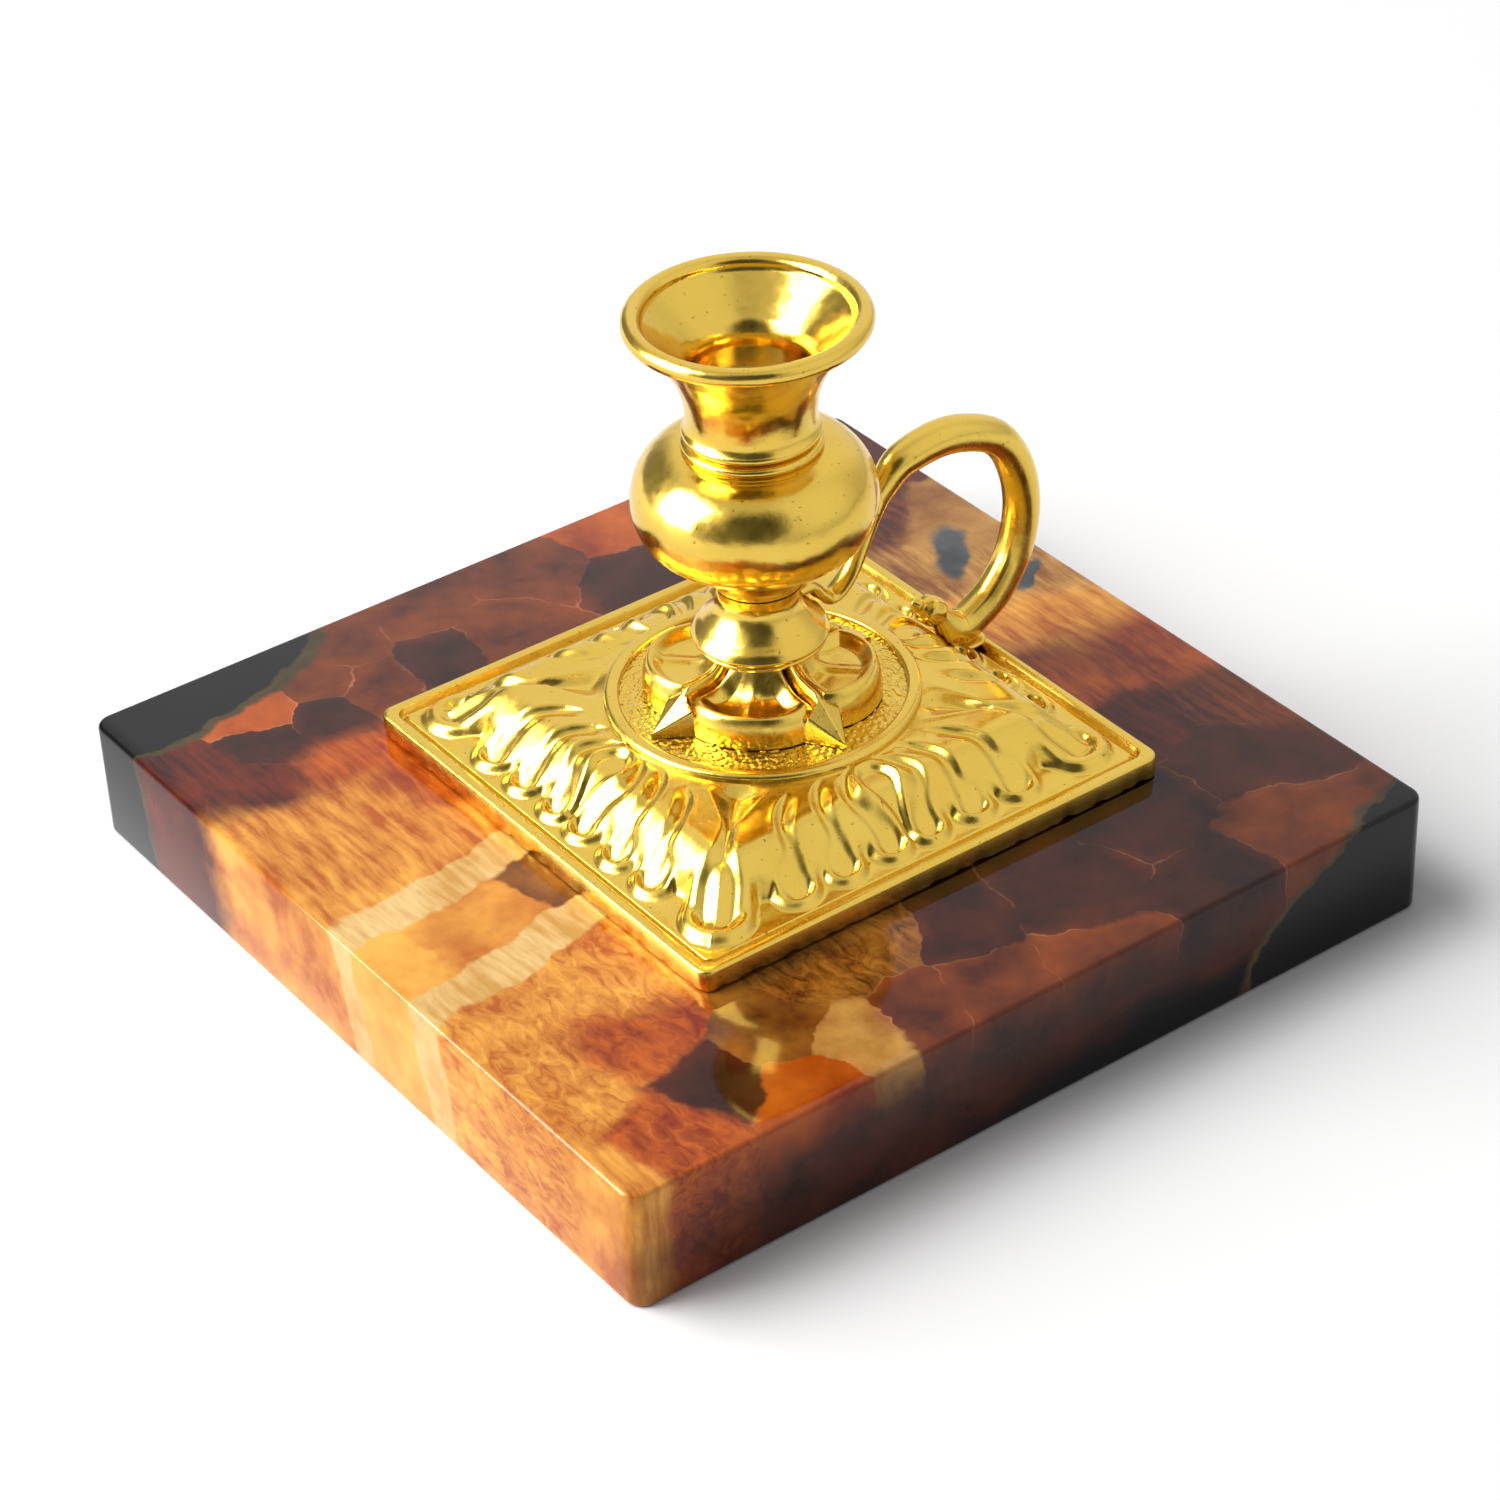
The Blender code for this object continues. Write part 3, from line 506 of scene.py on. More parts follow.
@dataclass(frozen=True)
class Vein:
    """A band, spot or corner that runs over the shards: a warped ellipsoid."""

    centre: tuple[float, ...]   # across, along and, where it matters, height
    radii: tuple[float, ...]
    tint: Tint
    figure: Figure = Figure.CLOUD
    turn: float = 0.0
    soft: float = 0.1           # share of the radius over which it fades out


SHARDS = (
    # maroon and umber behind the black corner
    Shard((-47.0, 34.0), Tint.MAROON, Figure.FIBRE, 1.5, 0.1),
    Shard((-42.0, 28.0), Tint.MAROON, Figure.FIBRE, 3.0, 0.1),
    Shard((-37.0, 34.0), Tint.UMBER, Figure.CLOUD, 0.5, 0.3),
    Shard((-30.0, 34.5), Tint.UMBER, Figure.CLOUD, 0.5, 0.5),
    Shard((-35.0, 39.5), Tint.RUST, Figure.CLOUD, 0.1, 1.6),
    Shard((-28.0, 42.0), Tint.BROWN, Figure.CLOUD, 0.3, 1.2),
    Shard((-33.0, 26.0), Tint.RUST, Figure.FIBRE, 4.0, 0.1),
    # amber fibres across the left
    Shard((-46.0, 18.0), Tint.AMBER, Figure.FIBRE, 4.0, 0.0),
    Shard((-35.0, 16.0), Tint.AMBER, Figure.FIBRE, 5.0, 0.0),
    Shard((-27.0, 17.0), Tint.RUST, Figure.FIBRE, 4.0, 0.0),
    Shard((-52.0, 8.0), Tint.AMBER, Figure.FIBRE, 4.0, 0.0),
    Shard((-40.0, 8.0), Tint.AMBER, Figure.FIBRE, 5.0, 0.0),
    Shard((-30.0, 6.0), Tint.AMBER, Figure.FIBRE, 5.0, 0.0),
    Shard((-48.0, -6.5), Tint.HONEY, Figure.CLOUD, 1.5, 0.2),
    Shard((-41.0, -5.5), Tint.AMBER, Figure.CLOUD, 0.8, 0.6),
    Shard((-34.0, -5.0), Tint.AMBER, Figure.CLOUD, 1.5, 0.4),
    Shard((-28.0, -4.0), Tint.GOLDEN, Figure.CLOUD, 0.5, 0.4),
    # feathered scales towards the near corner
    Shard((-52.0, -24.0), Tint.AMBER, Figure.SCALE, 4.0, 0.0),
    Shard((-43.0, -21.0), Tint.AMBER, Figure.SCALE, 4.0, 0.0),
    Shard((-33.0, -21.0), Tint.AMBER, Figure.SCALE, 5.0, 0.0),
    Shard((-36.0, -31.0), Tint.RUST, Figure.SCALE, 5.0, 0.0),
    Shard((-46.0, -34.0), Tint.AMBER, Figure.SCALE, 4.0, 0.0),
    Shard((-42.0, -44.0), Tint.RUST, Figure.SCALE, 2.0, 0.2),
    Shard((-33.0, -41.0), Tint.UMBER, Figure.CLOUD, 1.2, 0.5),
    Shard((-51.0, -46.0), Tint.AMBER, Figure.FIBRE, 2.0, 0.0),
    Shard((-25.0, -39.0), Tint.GOLDEN, Figure.CLOUD, 0.5, 0.8),
    Shard((-20.0, -44.0), Tint.OCHRE, Figure.CLOUD, 0.4, 1.3),
    Shard((-27.0, -47.0), Tint.RUST, Figure.CLOUD, 0.5, 1.0),
    # golden fibres and dark cells along the near edge
    Shard((-16.0, -35.0), Tint.GOLDEN, Figure.SCALE, 2.0, 0.1),
    Shard((-9.0, -34.0), Tint.GOLDEN, Figure.SCALE, 2.0, 0.3),
    Shard((-12.0, -44.0), Tint.BROWN, Figure.CLOUD, 0.5, 0.8),
    Shard((-2.0, -37.5), Tint.UMBER, Figure.CLOUD, 0.15, 0.8),
    Shard((-4.0, -46.0), Tint.BROWN, Figure.CLOUD, 0.5, 1.0),
    Shard((12.0, -40.5), Tint.UMBER, Figure.CLOUD, 0.4, 0.8),
    Shard((8.0, -50.0), Tint.BROWN, Figure.CLOUD, 0.8, 1.0),
    Shard((25.0, -34.0), Tint.UMBER, Figure.CLOUD, 0.5, 0.7),
    Shard((24.0, -47.0), Tint.UMBER, Figure.CLOUD, 0.3, 0.8),
    Shard((36.0, -45.0), Tint.BROWN, Figure.CLOUD, 1.0, 0.8),
    # down the right edge
    Shard((40.0, -32.0), Tint.UMBER, Figure.CLOUD, 1.0, 0.5),
    Shard((46.0, -25.0), Tint.BROWN, Figure.FIBRE, 3.0, 0.2),
    Shard((36.0, -21.0), Tint.MAROON, Figure.FIBRE, 2.5, 0.2),
    Shard((44.0, -12.0), Tint.RUST, Figure.FIBRE, 3.0, 0.1),
    Shard((34.0, -11.0), Tint.RUST, Figure.FIBRE, 3.0, 0.1),
    Shard((42.0, 0.0), Tint.AMBER, Figure.FIBRE, 4.0, 0.0),
    Shard((33.0, 5.0), Tint.AMBER, Figure.FIBRE, 4.0, 0.0),
    Shard((46.0, 9.0), Tint.OCHRE, Figure.FIBRE, 4.0, 0.0),
    Shard((38.0, 15.0), Tint.OCHRE, Figure.FIBRE, 3.0, 0.1),
    Shard((46.0, 22.0), Tint.OCHRE, Figure.CLOUD, 2.0, 0.3),
    Shard((39.0, 29.0), Tint.BROWN, Figure.FIBRE, 2.0, 0.4),
    Shard((45.0, 40.0), Tint.MAROON, Figure.CLOUD, 1.0, 0.6),
    # along the far edge
    Shard((-22.0, 46.0), Tint.BROWN, Figure.CLOUD, 0.6, 0.6),
    Shard((-22.0, 36.0), Tint.BROWN, Figure.CLOUD, 0.5, 0.9),
    Shard((-15.0, 36.0), Tint.UMBER, Figure.CLOUD, 0.3, 0.8),
    Shard((-11.0, 46.0), Tint.BROWN, Figure.CLOUD, 1.2, 0.5),
    Shard((-6.0, 36.0), Tint.BROWN, Figure.CLOUD, 0.5, 0.9),
    Shard((3.0, 44.0), Tint.BROWN, Figure.CLOUD, 1.5, 0.4),
    Shard((13.0, 36.0), Tint.UMBER, Figure.CLOUD, 0.12, 1.4),
    Shard((15.0, 47.0), Tint.RUST, Figure.CLOUD, 0.6, 0.5),
    Shard((25.0, 40.0), Tint.MAROON, Figure.CLOUD, 0.4, 0.9),
    Shard((34.0, 46.0), Tint.RUST, Figure.CLOUD, 0.5, 0.7),
    # under the foot plate
    Shard((-12.0, 8.0), Tint.GOLDEN, Figure.FIBRE, 3.0, 0.2),
    Shard((14.0, -6.0), Tint.BROWN, Figure.CLOUD, 2.0, 0.4),
    Shard((10.0, 18.0), Tint.MAROON, Figure.CLOUD, 1.0, 0.6),
    Shard((-14.0, -18.0), Tint.AMBER, Figure.SCALE, 3.0, 0.2),
)

VEINS = (
    Vein((-34.0, 1.9), (27.0, 2.45), Tint.CREAM, Figure.FIBRE, 9.0, 0.25),
    Vein((-34.0, -12.3), (27.0, 2.55), Tint.CREAM, Figure.FIBRE, 10.5, 0.25),
    Vein((41.5, 17.3), (1.9, 5.2), Tint.SLATE, Figure.CLOUD, -35.0, 0.5),
    Vein((45.6, 8.2), (1.1, 3.0), Tint.SLATE, Figure.CLOUD, -45.0, 0.6),
    Vein((-4.0, -58.0, 1.0), (60.0, 15.0, 14.0), Tint.UMBER, Figure.CLOUD, 0.0, 0.4),
    Vein((18.0, -58.0, -4.0), (40.0, 15.0, 11.5), Tint.JET, Figure.CLOUD, 0.0, 0.2),
    Vein((-46.5, 53.0), (26.0, 13.0), Tint.OLIVE, Figure.CLOUD, 0.0, 0.06),
    Vein((-47.0, 53.4), (24.0, 12.5), Tint.JET, Figure.CLOUD, 0.0, 0.04),
    Vein((62.0, -56.0, 0.0), (40.0, 19.8, 17.6), Tint.OLIVE, Figure.CLOUD, 0.0, 0.03),
    Vein((62.0, -56.0, 0.0), (39.0, 19.0, 17.0), Tint.JET, Figure.CLOUD, 0.0, 0.02),
)


@dataclass(frozen=True)
class BandedStone:
    """Banded calcite, sawn, ground and polished.

    The eye gets amber, maroon and black crystals with pale edges, cream bands and fibres that seem to
    lie under a clear hard gloss.
    """

    name: str = "banded_calcite_polished"
    shards: tuple[Shard, ...] = SHARDS
    veins: tuple[Vein, ...] = VEINS
    gloss: float = 0.05
    ior: float = 1.54
    shine: float = 0.24         # level of the clear reflection
    warp: float = 7.0           # how far the edges wander
    warp_size: float = 12.0
    figure_warp: float = 2.5    # how far the fibres wander
    lean: float = 0.12          # how far the figure shifts towards the front per depth
    top: float = 13.8           # height at which it stands where it is placed
    fibre: Point = (0.9, 7.0)   # width and length of the fibres
    fibre_turn: float = -12.0
    scale: Point = (1.5, 3.4)   # width and length of the feathered scales
    scale_turn: float = 8.0
    cloud: float = 8.0
    heal: float = 6.0           # length of the stretches where an edge shows or is healed
    heal_range: Point = (0.42, 0.68)
    line_width: float = 0.35
    line_tint: str = "#C98C5C"
    line_share: float = 0.4
    glow_width: float = 4.0
    glow_tint: str = "#6E2A0C"
    glow_share: float = 0.5

    def material(self) -> bpy.types.Material:
        """Make the finish.

        Returns:
            A node material on Object coordinates.
        """
        material = new_material(self.name, {"Roughness": self.gloss, "IOR": self.ior,
                                            "Specular IOR Level": self.shine})
        tree = material.node_tree
        place = object_place(tree)
        waves = add_node(tree, "ShaderNodeTexNoise",
                         {"Vector": place, "Scale": per_mm(self.warp_size), "Detail": 4.0,
                          "Roughness": 0.6})
        drift = vector_math(tree, "SUBTRACT", waves.outputs["Color"], (0.5, 0.5, 0.5)).outputs[0]
        depth = add_node(tree, "ShaderNodeSeparateXYZ", {0: place}).outputs["Z"]
        slip = compute(tree, "MULTIPLY_ADD", depth, self.lean, -self.top * MM * self.lean)
        down = add_node(tree, "ShaderNodeCombineXYZ", {"Y": slip}).outputs[0]
        bent = self.shifted(tree, place, drift, self.warp)
        warped = vector_math(tree, "SUBTRACT", bent, down).outputs[0]
        figures = self.figures(tree, self.shifted(tree, place, drift, self.figure_warp))
        pairs = {(tint, figure): mix(tree, share, *map(linear, tint.value))
                 for tint in Tint for figure, share in figures.items()}
        colour = self.crystals(tree, warped, pairs)
        for vein in self.veins:
            colour = self.paint(tree, warped, vein, pairs[vein.tint, vein.figure], colour)
        set_inputs(tree, tree.nodes[SHADER], {"Base Color": colour})
        return material

    def crystals(self, tree: Tree, place: Socket,
                 pairs: dict[tuple[Tint, Figure], Socket]) -> Socket:
        """Divide the stone among its shards and draw the pale lines between them.

        Args:
            tree: The material's node tree.
            place: The warped coordinates.
            pairs: The colours by tint and figure.

        Returns:
            The colour.
        """
        flat = vector_math(tree, "MULTIPLY", place, (1.0, 1.0, 0.0)).outputs[0]
        nearest: Any = 1.0
        second: Any = 1.0
        line: Any = 0.0
        colour: Any = linear("#000000")
        for shard in self.shards:
            centre = (shard.place[0] * MM, shard.place[1] * MM, 0.0)
            away = vector_math(tree, "DISTANCE", flat, centre).outputs["Value"]
            lead = compute(tree, "SUBTRACT", nearest, away)
            share = ramp(tree, lead, (-shard.soft * MM, shard.soft * MM), kind="SMOOTHSTEP")
            colour = mix(tree, share, colour, pairs[shard.tint, shard.figure])
            line = add_node(tree, "ShaderNodeMix", {0: share, 2: line, 3: shard.line}).outputs[0]
            second = compute(tree, "MINIMUM", second, compute(tree, "MAXIMUM", nearest, away))
            nearest = compute(tree, "MINIMUM", nearest, away)
        gap = compute(tree, "SUBTRACT", second, nearest)
        shown = ramp(tree, speckle(tree, flat, self.heal, 2.0), self.heal_range)
        line = compute(tree, "MULTIPLY", line, shown)
        for width, tint, power in ((self.glow_width, self.glow_tint, self.glow_share),
                                   (self.line_width, self.line_tint, self.line_share)):
            near = ramp(tree, gap, (0.0, width * MM), (power, 0.0), "SMOOTHERSTEP")
            drawn = compute(tree, "MULTIPLY", near, line)
            colour = mix(tree, drawn, colour, linear(tint), "SCREEN")
        return colour

    @staticmethod
    def paint(tree: Tree, place: Socket, vein: Vein, tint: Socket, under: Socket) -> Socket:
        """Lay one vein over what is there.

        Args:
            tree: The material's node tree.
            place: The warped coordinates.
            vein: The vein.
            tint: Its colour.
            under: The colour so far.

        Returns:
            The colour with the vein in it.
        """
        centre = [c * MM for c in (*vein.centre, 0.0)[:3]]
        radii = [r * MM for r in (*vein.radii, ENDLESS)[:3]]
        local = add_node(tree, "ShaderNodeMapping",
                         {"Vector": place, "Location": centre, "Scale": radii,
                          "Rotation": (0.0, 0.0, math.radians(vein.turn))}, vector_type="TEXTURE")
        reach = vector_math(tree, "LENGTH", local.outputs[0]).outputs["Value"]
        fade = (1.0 + vein.soft / 2.0, 1.0 - vein.soft / 2.0)
        return mix(tree, ramp(tree, reach, fade, kind="SMOOTHSTEP"), under, tint)

    @staticmethod
    def shifted(tree: Tree, place: Socket, drift: Socket, far: float) -> Socket:
        """Return the coordinates pushed about by a drift of so many millimetres."""
        push = add_node(tree, "ShaderNodeVectorMath", {0: drift, "Scale": far * MM},
                        operation="SCALE")
        return vector_math(tree, "ADD", place, push.outputs[0]).outputs[0]

    def figures(self, tree: Tree, place: Socket) -> dict[Figure, Socket]:
        """Make the figures that the shards share.

        Args:
            tree: The material's node tree.
            place: The coordinates, a little warped.

        Returns:
            A share from 0 to 1 for each figure.
        """
        clouds = speckle(tree, place, self.cloud, 6.0, Roughness=0.55)
        width, length = self.fibre
        combed = self.combed(tree, place, self.fibre_turn, (1.0, width / length, width / length))
        fibres = speckle(tree, combed, width, 3.0, Roughness=0.55)
        width, length = self.scale
        combed = self.combed(tree, place, self.scale_turn, (1.0, width / length, 1.0))
        scales = speckle(tree, combed, width, 4.0, Roughness=0.6, Distortion=1.2)
        made = {Figure.CLOUD: (((clouds, 1.0),), (0.32, 0.7)),
                Figure.FIBRE: (((fibres, 0.5), (clouds, 0.5)), (0.39, 0.63)),
                Figure.SCALE: (((scales, 0.55), (clouds, 0.45)), (0.39, 0.64))}
        shares = {}
        for figure, (parts, limits) in made.items():
            total: Any = 0.0
            for value, weight in parts:
                total = compute(tree, "MULTIPLY_ADD", value, weight, total)
            shares[figure] = ramp(tree, total, limits)
        return shares

    @staticmethod
    def combed(tree: Tree, place: Socket, turn: float, scale: tuple[float, float, float]) -> Socket:
        """Return the coordinates turned by so many degrees and drawn out."""
        return add_node(tree, "ShaderNodeMapping",
                        {"Vector": place, "Rotation": (0.0, 0.0, math.radians(turn)),
                         "Scale": scale}).outputs[0]


@dataclass(frozen=True)
class PlatedSteel:
    """Steel, turned and plated: a grey mirror dulled by fine turning marks."""

    name: str
    bright: str = "#C2C3C6"
    deep: str = "#9EA0A4"
    mark: float = 0.3
    smooth: float = 0.22
    dull: float = 0.42

    def material(self) -> bpy.types.Material:
        """Make the finish.

        Returns:
            A node material on Object coordinates.
        """
        material = new_material(self.name, {"Metallic": 1.0})
        tree = material.node_tree
        marks = speckle(tree, object_place(tree), self.mark, 3.0)
        set_inputs(tree, tree.nodes[SHADER],
                   {"Base Color": mix(tree, marks, linear(self.bright), linear(self.deep)),
                    "Roughness": ramp(tree, marks, (0.0, 1.0), (self.smooth, self.dull))})
        return material


@dataclass
class Slab:
    """The square stone slab."""

    side: float = 100.0
    corner: float = 2.0
    corner_steps: int = 10
    edge: float = 0.5
    edge_steps: int = 4
    hole: float = 3.3
    recess: float = 7.5
    recess_depth: float = 6.6
    ring_steps: int = 96
    crease: float = 40.0

    def build(self, stack: Stack, finish: BandedStone) -> None:
        """Cut the slab, ease its edges and drill it for the tie screw.

        Args:
            stack: Places of the solids.
            finish: The stone.
        """
        thick = stack.high["stone_slab"]
        bm = bmesh.new()
        bmesh.ops.create_cube(bm, size=1.0, matrix=Matrix.Translation((0.0, 0.0, thick / 2.0))
                              @ Matrix.Diagonal((self.side, self.side, thick, 1.0)))
        upright = [e for e in bm.edges if abs(e.verts[0].co.z - e.verts[1].co.z) > thick / 2.0]
        bmesh.ops.bevel(bm, geom=upright, offset=self.corner, segments=self.corner_steps,
                        profile=0.5, affect="EDGES", material=-1)
        rims = [e for e in bm.edges if abs(e.verts[0].co.z - e.verts[1].co.z) < thick / 2.0]
        bmesh.ops.bevel(bm, geom=rims, offset=self.edge, segments=self.edge_steps, profile=0.5,
                        affect="EDGES", material=-1)
        piece = finish_piece(bm, "slab_polished", finish.material(), (0.0, 0.0, 0.0),
                             "stone_slab", self.crease)
        tool = spin([(0.0, -thick), (self.recess, -thick), (self.recess, self.recess_depth),
                     (self.hole, self.recess_depth), (self.hole, 2.0 * thick),
                     (0.0, 2.0 * thick)], self.ring_steps)
        self.drill(piece, tool, stack.axis)

    def drill(self, piece: bpy.types.Object, tool: bmesh.types.BMesh, axis: Point) -> None:
        """Cut the stepped hole out of the slab.

        Args:
            piece: The slab.
            tool: The hole's shape round the candle axis, which is used up.
            axis: Place of the candle axis.
        """
        to_metres(tool, (*axis, 0.0))
        drill = to_object(tool, "slab_drill")
        cut = piece.modifiers.new("hole", "BOOLEAN")
        cut.operation = "DIFFERENCE"
        cut.solver = "EXACT"
        cut.object = drill
        graph = bpy.context.evaluated_depsgraph_get()
        drilled = bpy.data.meshes.new_from_object(piece.evaluated_get(graph))
        piece.modifiers.clear()
        piece.data = drilled
        bpy.data.objects.remove(drill)
        soften_edges(drilled, self.crease)


@dataclass(frozen=True)
class Lobe:
    """One spoon-ended lobe of the leaf border, drawn on one half of a side."""

    tip: float                  # place of its end along the side
    radius: float
    top: Point                  # where its bowl runs out


@dataclass(frozen=True)
class Eye:
    """A crescent hollow between two strands of the leaf, with a thin lip on its outer side."""

    lip: Points
    steps: int = 6              # of the curve between two points of the lip
    depth: float = 0.65
    width: float = 2.0
    lean: float = 0.65          # below 1 the hollow is deepest near its lip
    rise: float = 0.08
    lip_width: float = 0.45
    opens: Point = (-0.05, 0.45)    # shares of its length over which it opens
    closes: Point = (0.75, 1.0)     # and over which it closes again
    closing: float = 0.6        # how far it closes


@dataclass
class LeafBorder:
    """Relief of the leaf border, by place along a side and distance from the candle axis."""

    outer: float = 26.55        # where the lobes end on the ledge
    crown: float = 20.6         # where the leaf's slope runs into the roof
    slope: float = 1.12
    crown_round: float = 0.55
    inner: float = 17.2         # where the border ends
    ledge: float = 2.0
    ledge_climb: Point = (0.45, 3.0)    # rise of the ledge under the leaf, and its run
    roof: float = 7.4
    wall: float = 0.7           # width of the lobes' rounded edge
    # the leaf's edge between the lobes
    hem: Points = ((0.0, 24.0), (13.0, 24.1), (17.0, 23.4), (18.5, 22.6))
    lobes: tuple[Lobe, ...] = (Lobe(2.35, 2.42, (3.4, 21.6)), Lobe(8.25, 2.5, (7.5, 21.6)),
                               Lobe(14.05, 2.65, (12.5, 21.2)))
    rim: float = 0.95           # width of the raised band round a lobe's bowl
    rim_top: float = 3.0
    rim_slope: float = 0.12
    bowl: float = 0.5
    bowl_floor: float = 1.95
    bowl_edge: float = 0.35     # half width of a bowl's soft edge
    bowl_end: Point = (0.3, 0.2)    # half width where a bowl runs out, and its share of the depth
    notches: Points = ((5.48, 24.05), (10.85, 24.15), (17.0, 23.4))
    eyes: tuple[Eye, ...] = (
        Eye(((1.2, 16.3), (3.4, 17.3), (4.85, 19.6), (4.75, 21.2), (3.9, 22.7))),
        Eye(((4.7, 15.9), (6.3, 16.7), (7.95, 18.9), (8.5, 20.9), (8.45, 22.5))),
        Eye(((8.4, 15.6), (10.5, 16.6), (12.3, 18.4), (13.4, 20.4), (13.8, 22.0))))
    crease: float = 0.3         # depth of the line from a notch to an eye
    crease_width: float = 0.5
    crease_end: float = 0.4     # share of the depth left at the eye
    keyhole: float = 19.4       # middle of its head
    keyhole_radii: Point = (1.95, 2.3)
    # distance from the axis and half width
    keyhole_stem: Points = ((20.3, 1.75), (21.4, 1.3), (22.6, 0.75), (23.7, 0.4), (26.6, 0.3))
    keyhole_sink: float = 0.6
    keyhole_run: Point = (22.4, 25.2)   # where its floor runs down to the ledge
    keyhole_edge: Point = (-0.05, 0.5)
    trim_rise: float = 0.3      # thin line round the keyhole
    trim_gap: float = 0.35
    trim_width: float = 0.4
    trim_fade: float = 1.6
    finger: tuple[Point, Point] = ((18.3, 18.3), (22.85, 22.85))    # the corner's lobe, to its end
    finger_radii: Point = (3.1, 3.75)
    finger_bowl: float = 0.55
    finger_start: float = 0.5   # half width of its bowl at the inner end
    finger_edge: float = 0.7
    finger_opens: Point = (-0.1, 0.35)  # shares of its length over which the bowl deepens
    finger_widens: float = 0.7  # share at which the bowl has its full width
    mitre: Point = (18.2, 1.6)  # middle and half length of the groove on the diagonal
    mitre_depth: float = 0.5
    mitre_width: float = 0.5

    def height(self, along: np.ndarray, out: np.ndarray) -> np.ndarray:
        """Return the border's height over the foot's underside.

        Args:
            along: Distance from the middle of the side.
            out: Distance from the candle axis, square to the side.

        Returns:
            One height for each place.
        """
        u = np.abs(along)
        past = (out - self.crown) / self.crown_round
        body = self.roof - self.slope * self.crown_round * np.logaddexp(0.0, past)
        rise, run = self.ledge_climb
        ground = self.ledge + rise * ease(0.0, run, self.outer - out)
        edge = out - np.interp(u, *zip(*self.hem))
        bowl = np.zeros(u.shape)
        for lobe in self.lobes:
            end = (lobe.tip, self.outer - lobe.radius)
            away, share = self.to_line(u, out, end, lobe.top)
            edge = self.join(edge, away - lobe.radius)
            past = away - blend(lobe.radius - self.rim, self.bowl_end[0], share)
            dished = ease(self.bowl_edge, -self.bowl_edge, past) * blend(1.0, self.bowl_end[1], share)
            bowl = np.maximum(bowl, dished)
        away, share = self.to_line(u, out, *self.finger)
        edge = self.join(edge, away - blend(*self.finger_radii, share))
        reach = self.finger_radii[1] - 2.0 * self.rim
        past = away - blend(self.finger_start, reach, ease(0.0, self.finger_widens, share))
        corner = ease(self.finger_edge, -self.finger_edge, past) * ease(*self.finger_opens, share)
        rim = np.maximum(body, self.rim_top + self.rim_slope * (self.outer - out))
        leaf = blend(rim, np.maximum(body - self.bowl, self.bowl_floor), np.maximum(bowl, corner))
        leaf = leaf - self.finger_bowl * corner
        for eye, notch in zip(self.eyes, self.notches):
            leaf = leaf + self.eye_relief(u, out, eye)
            link, share = self.to_line(u, out, notch, eye.lip[-1])
            line = bump(link, self.crease_width) * blend(1.0, self.crease_end, share)
            leaf = leaf - self.crease * line
        middle, half_length = self.mitre
        groove = bump((out - u) / ROOT_2, self.mitre_width) * bump(out - middle, half_length)
        leaf = leaf - self.mitre_depth * groove
        depth = np.clip(-edge / self.wall, 0.0, 1.0)
        height = blend(ground, leaf, np.sqrt(1.0 - (1.0 - depth) ** 2))
        return self.cut_keyhole(u, out, height, ground)

    @staticmethod
    def eye_relief(u: np.ndarray, out: np.ndarray, eye: Eye) -> np.ndarray:
        """Return the hollow of one eye and the lip beside it.

        Args:
            u: Distance from the middle of the side.
            out: Distance from the candle axis.
            eye: The eye.

        Returns:
            What the eye adds to the leaf.
        """
        path = curve(eye.lip, eye.steps)
        best = np.full(u.shape, np.inf)
        side = np.zeros(u.shape)
        share = np.zeros(u.shape)
        for i in range(len(path) - 1):
            a, step = path[i], path[i + 1] - path[i]
            t = np.clip(((u - a[0]) * step[0] + (out - a[1]) * step[1]) / (step @ step), 0.0, 1.0)
            du, dv = u - a[0] - t * step[0], out - a[1] - t * step[1]
            far = np.hypot(du, dv)
            near = far < best
            best = np.where(near, far, best)
            side = np.where(near, np.sign(step[0] * dv - step[1] * du), side)
            share = np.where(near, (i + t) / (len(path) - 1), share)
        taper = ease(*eye.opens, share) * (1.0 - eye.closing * ease(*eye.closes, share))
        within = np.clip(best / eye.width, 0.0, 1.0)
        scoop = eye.depth * np.sin(math.pi * within ** eye.lean) * (side > 0.0)
        return taper * (eye.rise * bump(best, eye.lip_width) - scoop)

    def cut_keyhole(self, u: np.ndarray, out: np.ndarray, height: np.ndarray,
                    ground: np.ndarray) -> np.ndarray:
        """Sink the keyhole in the middle of the side and raise a thin line round it.

        Args:
            u: Distance from the middle of the side.
            out: Distance from the candle axis.
            height: Heights so far.
            ground: Heights of the ledge under the leaf.

        Returns:
            The heights with the keyhole in them.
        """
        wide, tall = self.keyhole_radii
        head = wide * (1.0 - np.hypot(u / wide, (out - self.keyhole) / tall))
        stem = np.interp(out, *zip(*self.keyhole_stem)) - u
        inside = np.where(out > self.keyhole_stem[0][0], np.maximum(head, stem), head)
        floor = blend(height - self.keyhole_sink, ground, ease(*self.keyhole_run, out))
        trim = bump(inside + self.trim_gap, self.trim_width)
        height = height + self.trim_rise * trim * ease(self.outer, self.outer - self.trim_fade, out)
        return blend(height, np.minimum(floor, height), ease(*self.keyhole_edge, inside))

    @staticmethod
    def to_line(u: np.ndarray, out: np.ndarray, start: Point,
                end: Point) -> tuple[np.ndarray, np.ndarray]:
        """Measure how places lie to a line between two points.

        Args:
            u: Distance from the middle of the side.
            out: Distance from the candle axis.
            start: One end of the line.
            end: Its other end.

        Returns:
            Each place's distance from the line, and its share along it.
        """
        du, dv = end[0] - start[0], end[1] - start[1]
        t = np.clip(((u - start[0]) * du + (out - start[1]) * dv) / (du * du + dv * dv), 0.0, 1.0)
        return np.hypot(u - start[0] - t * du, out - start[1] - t * dv), t

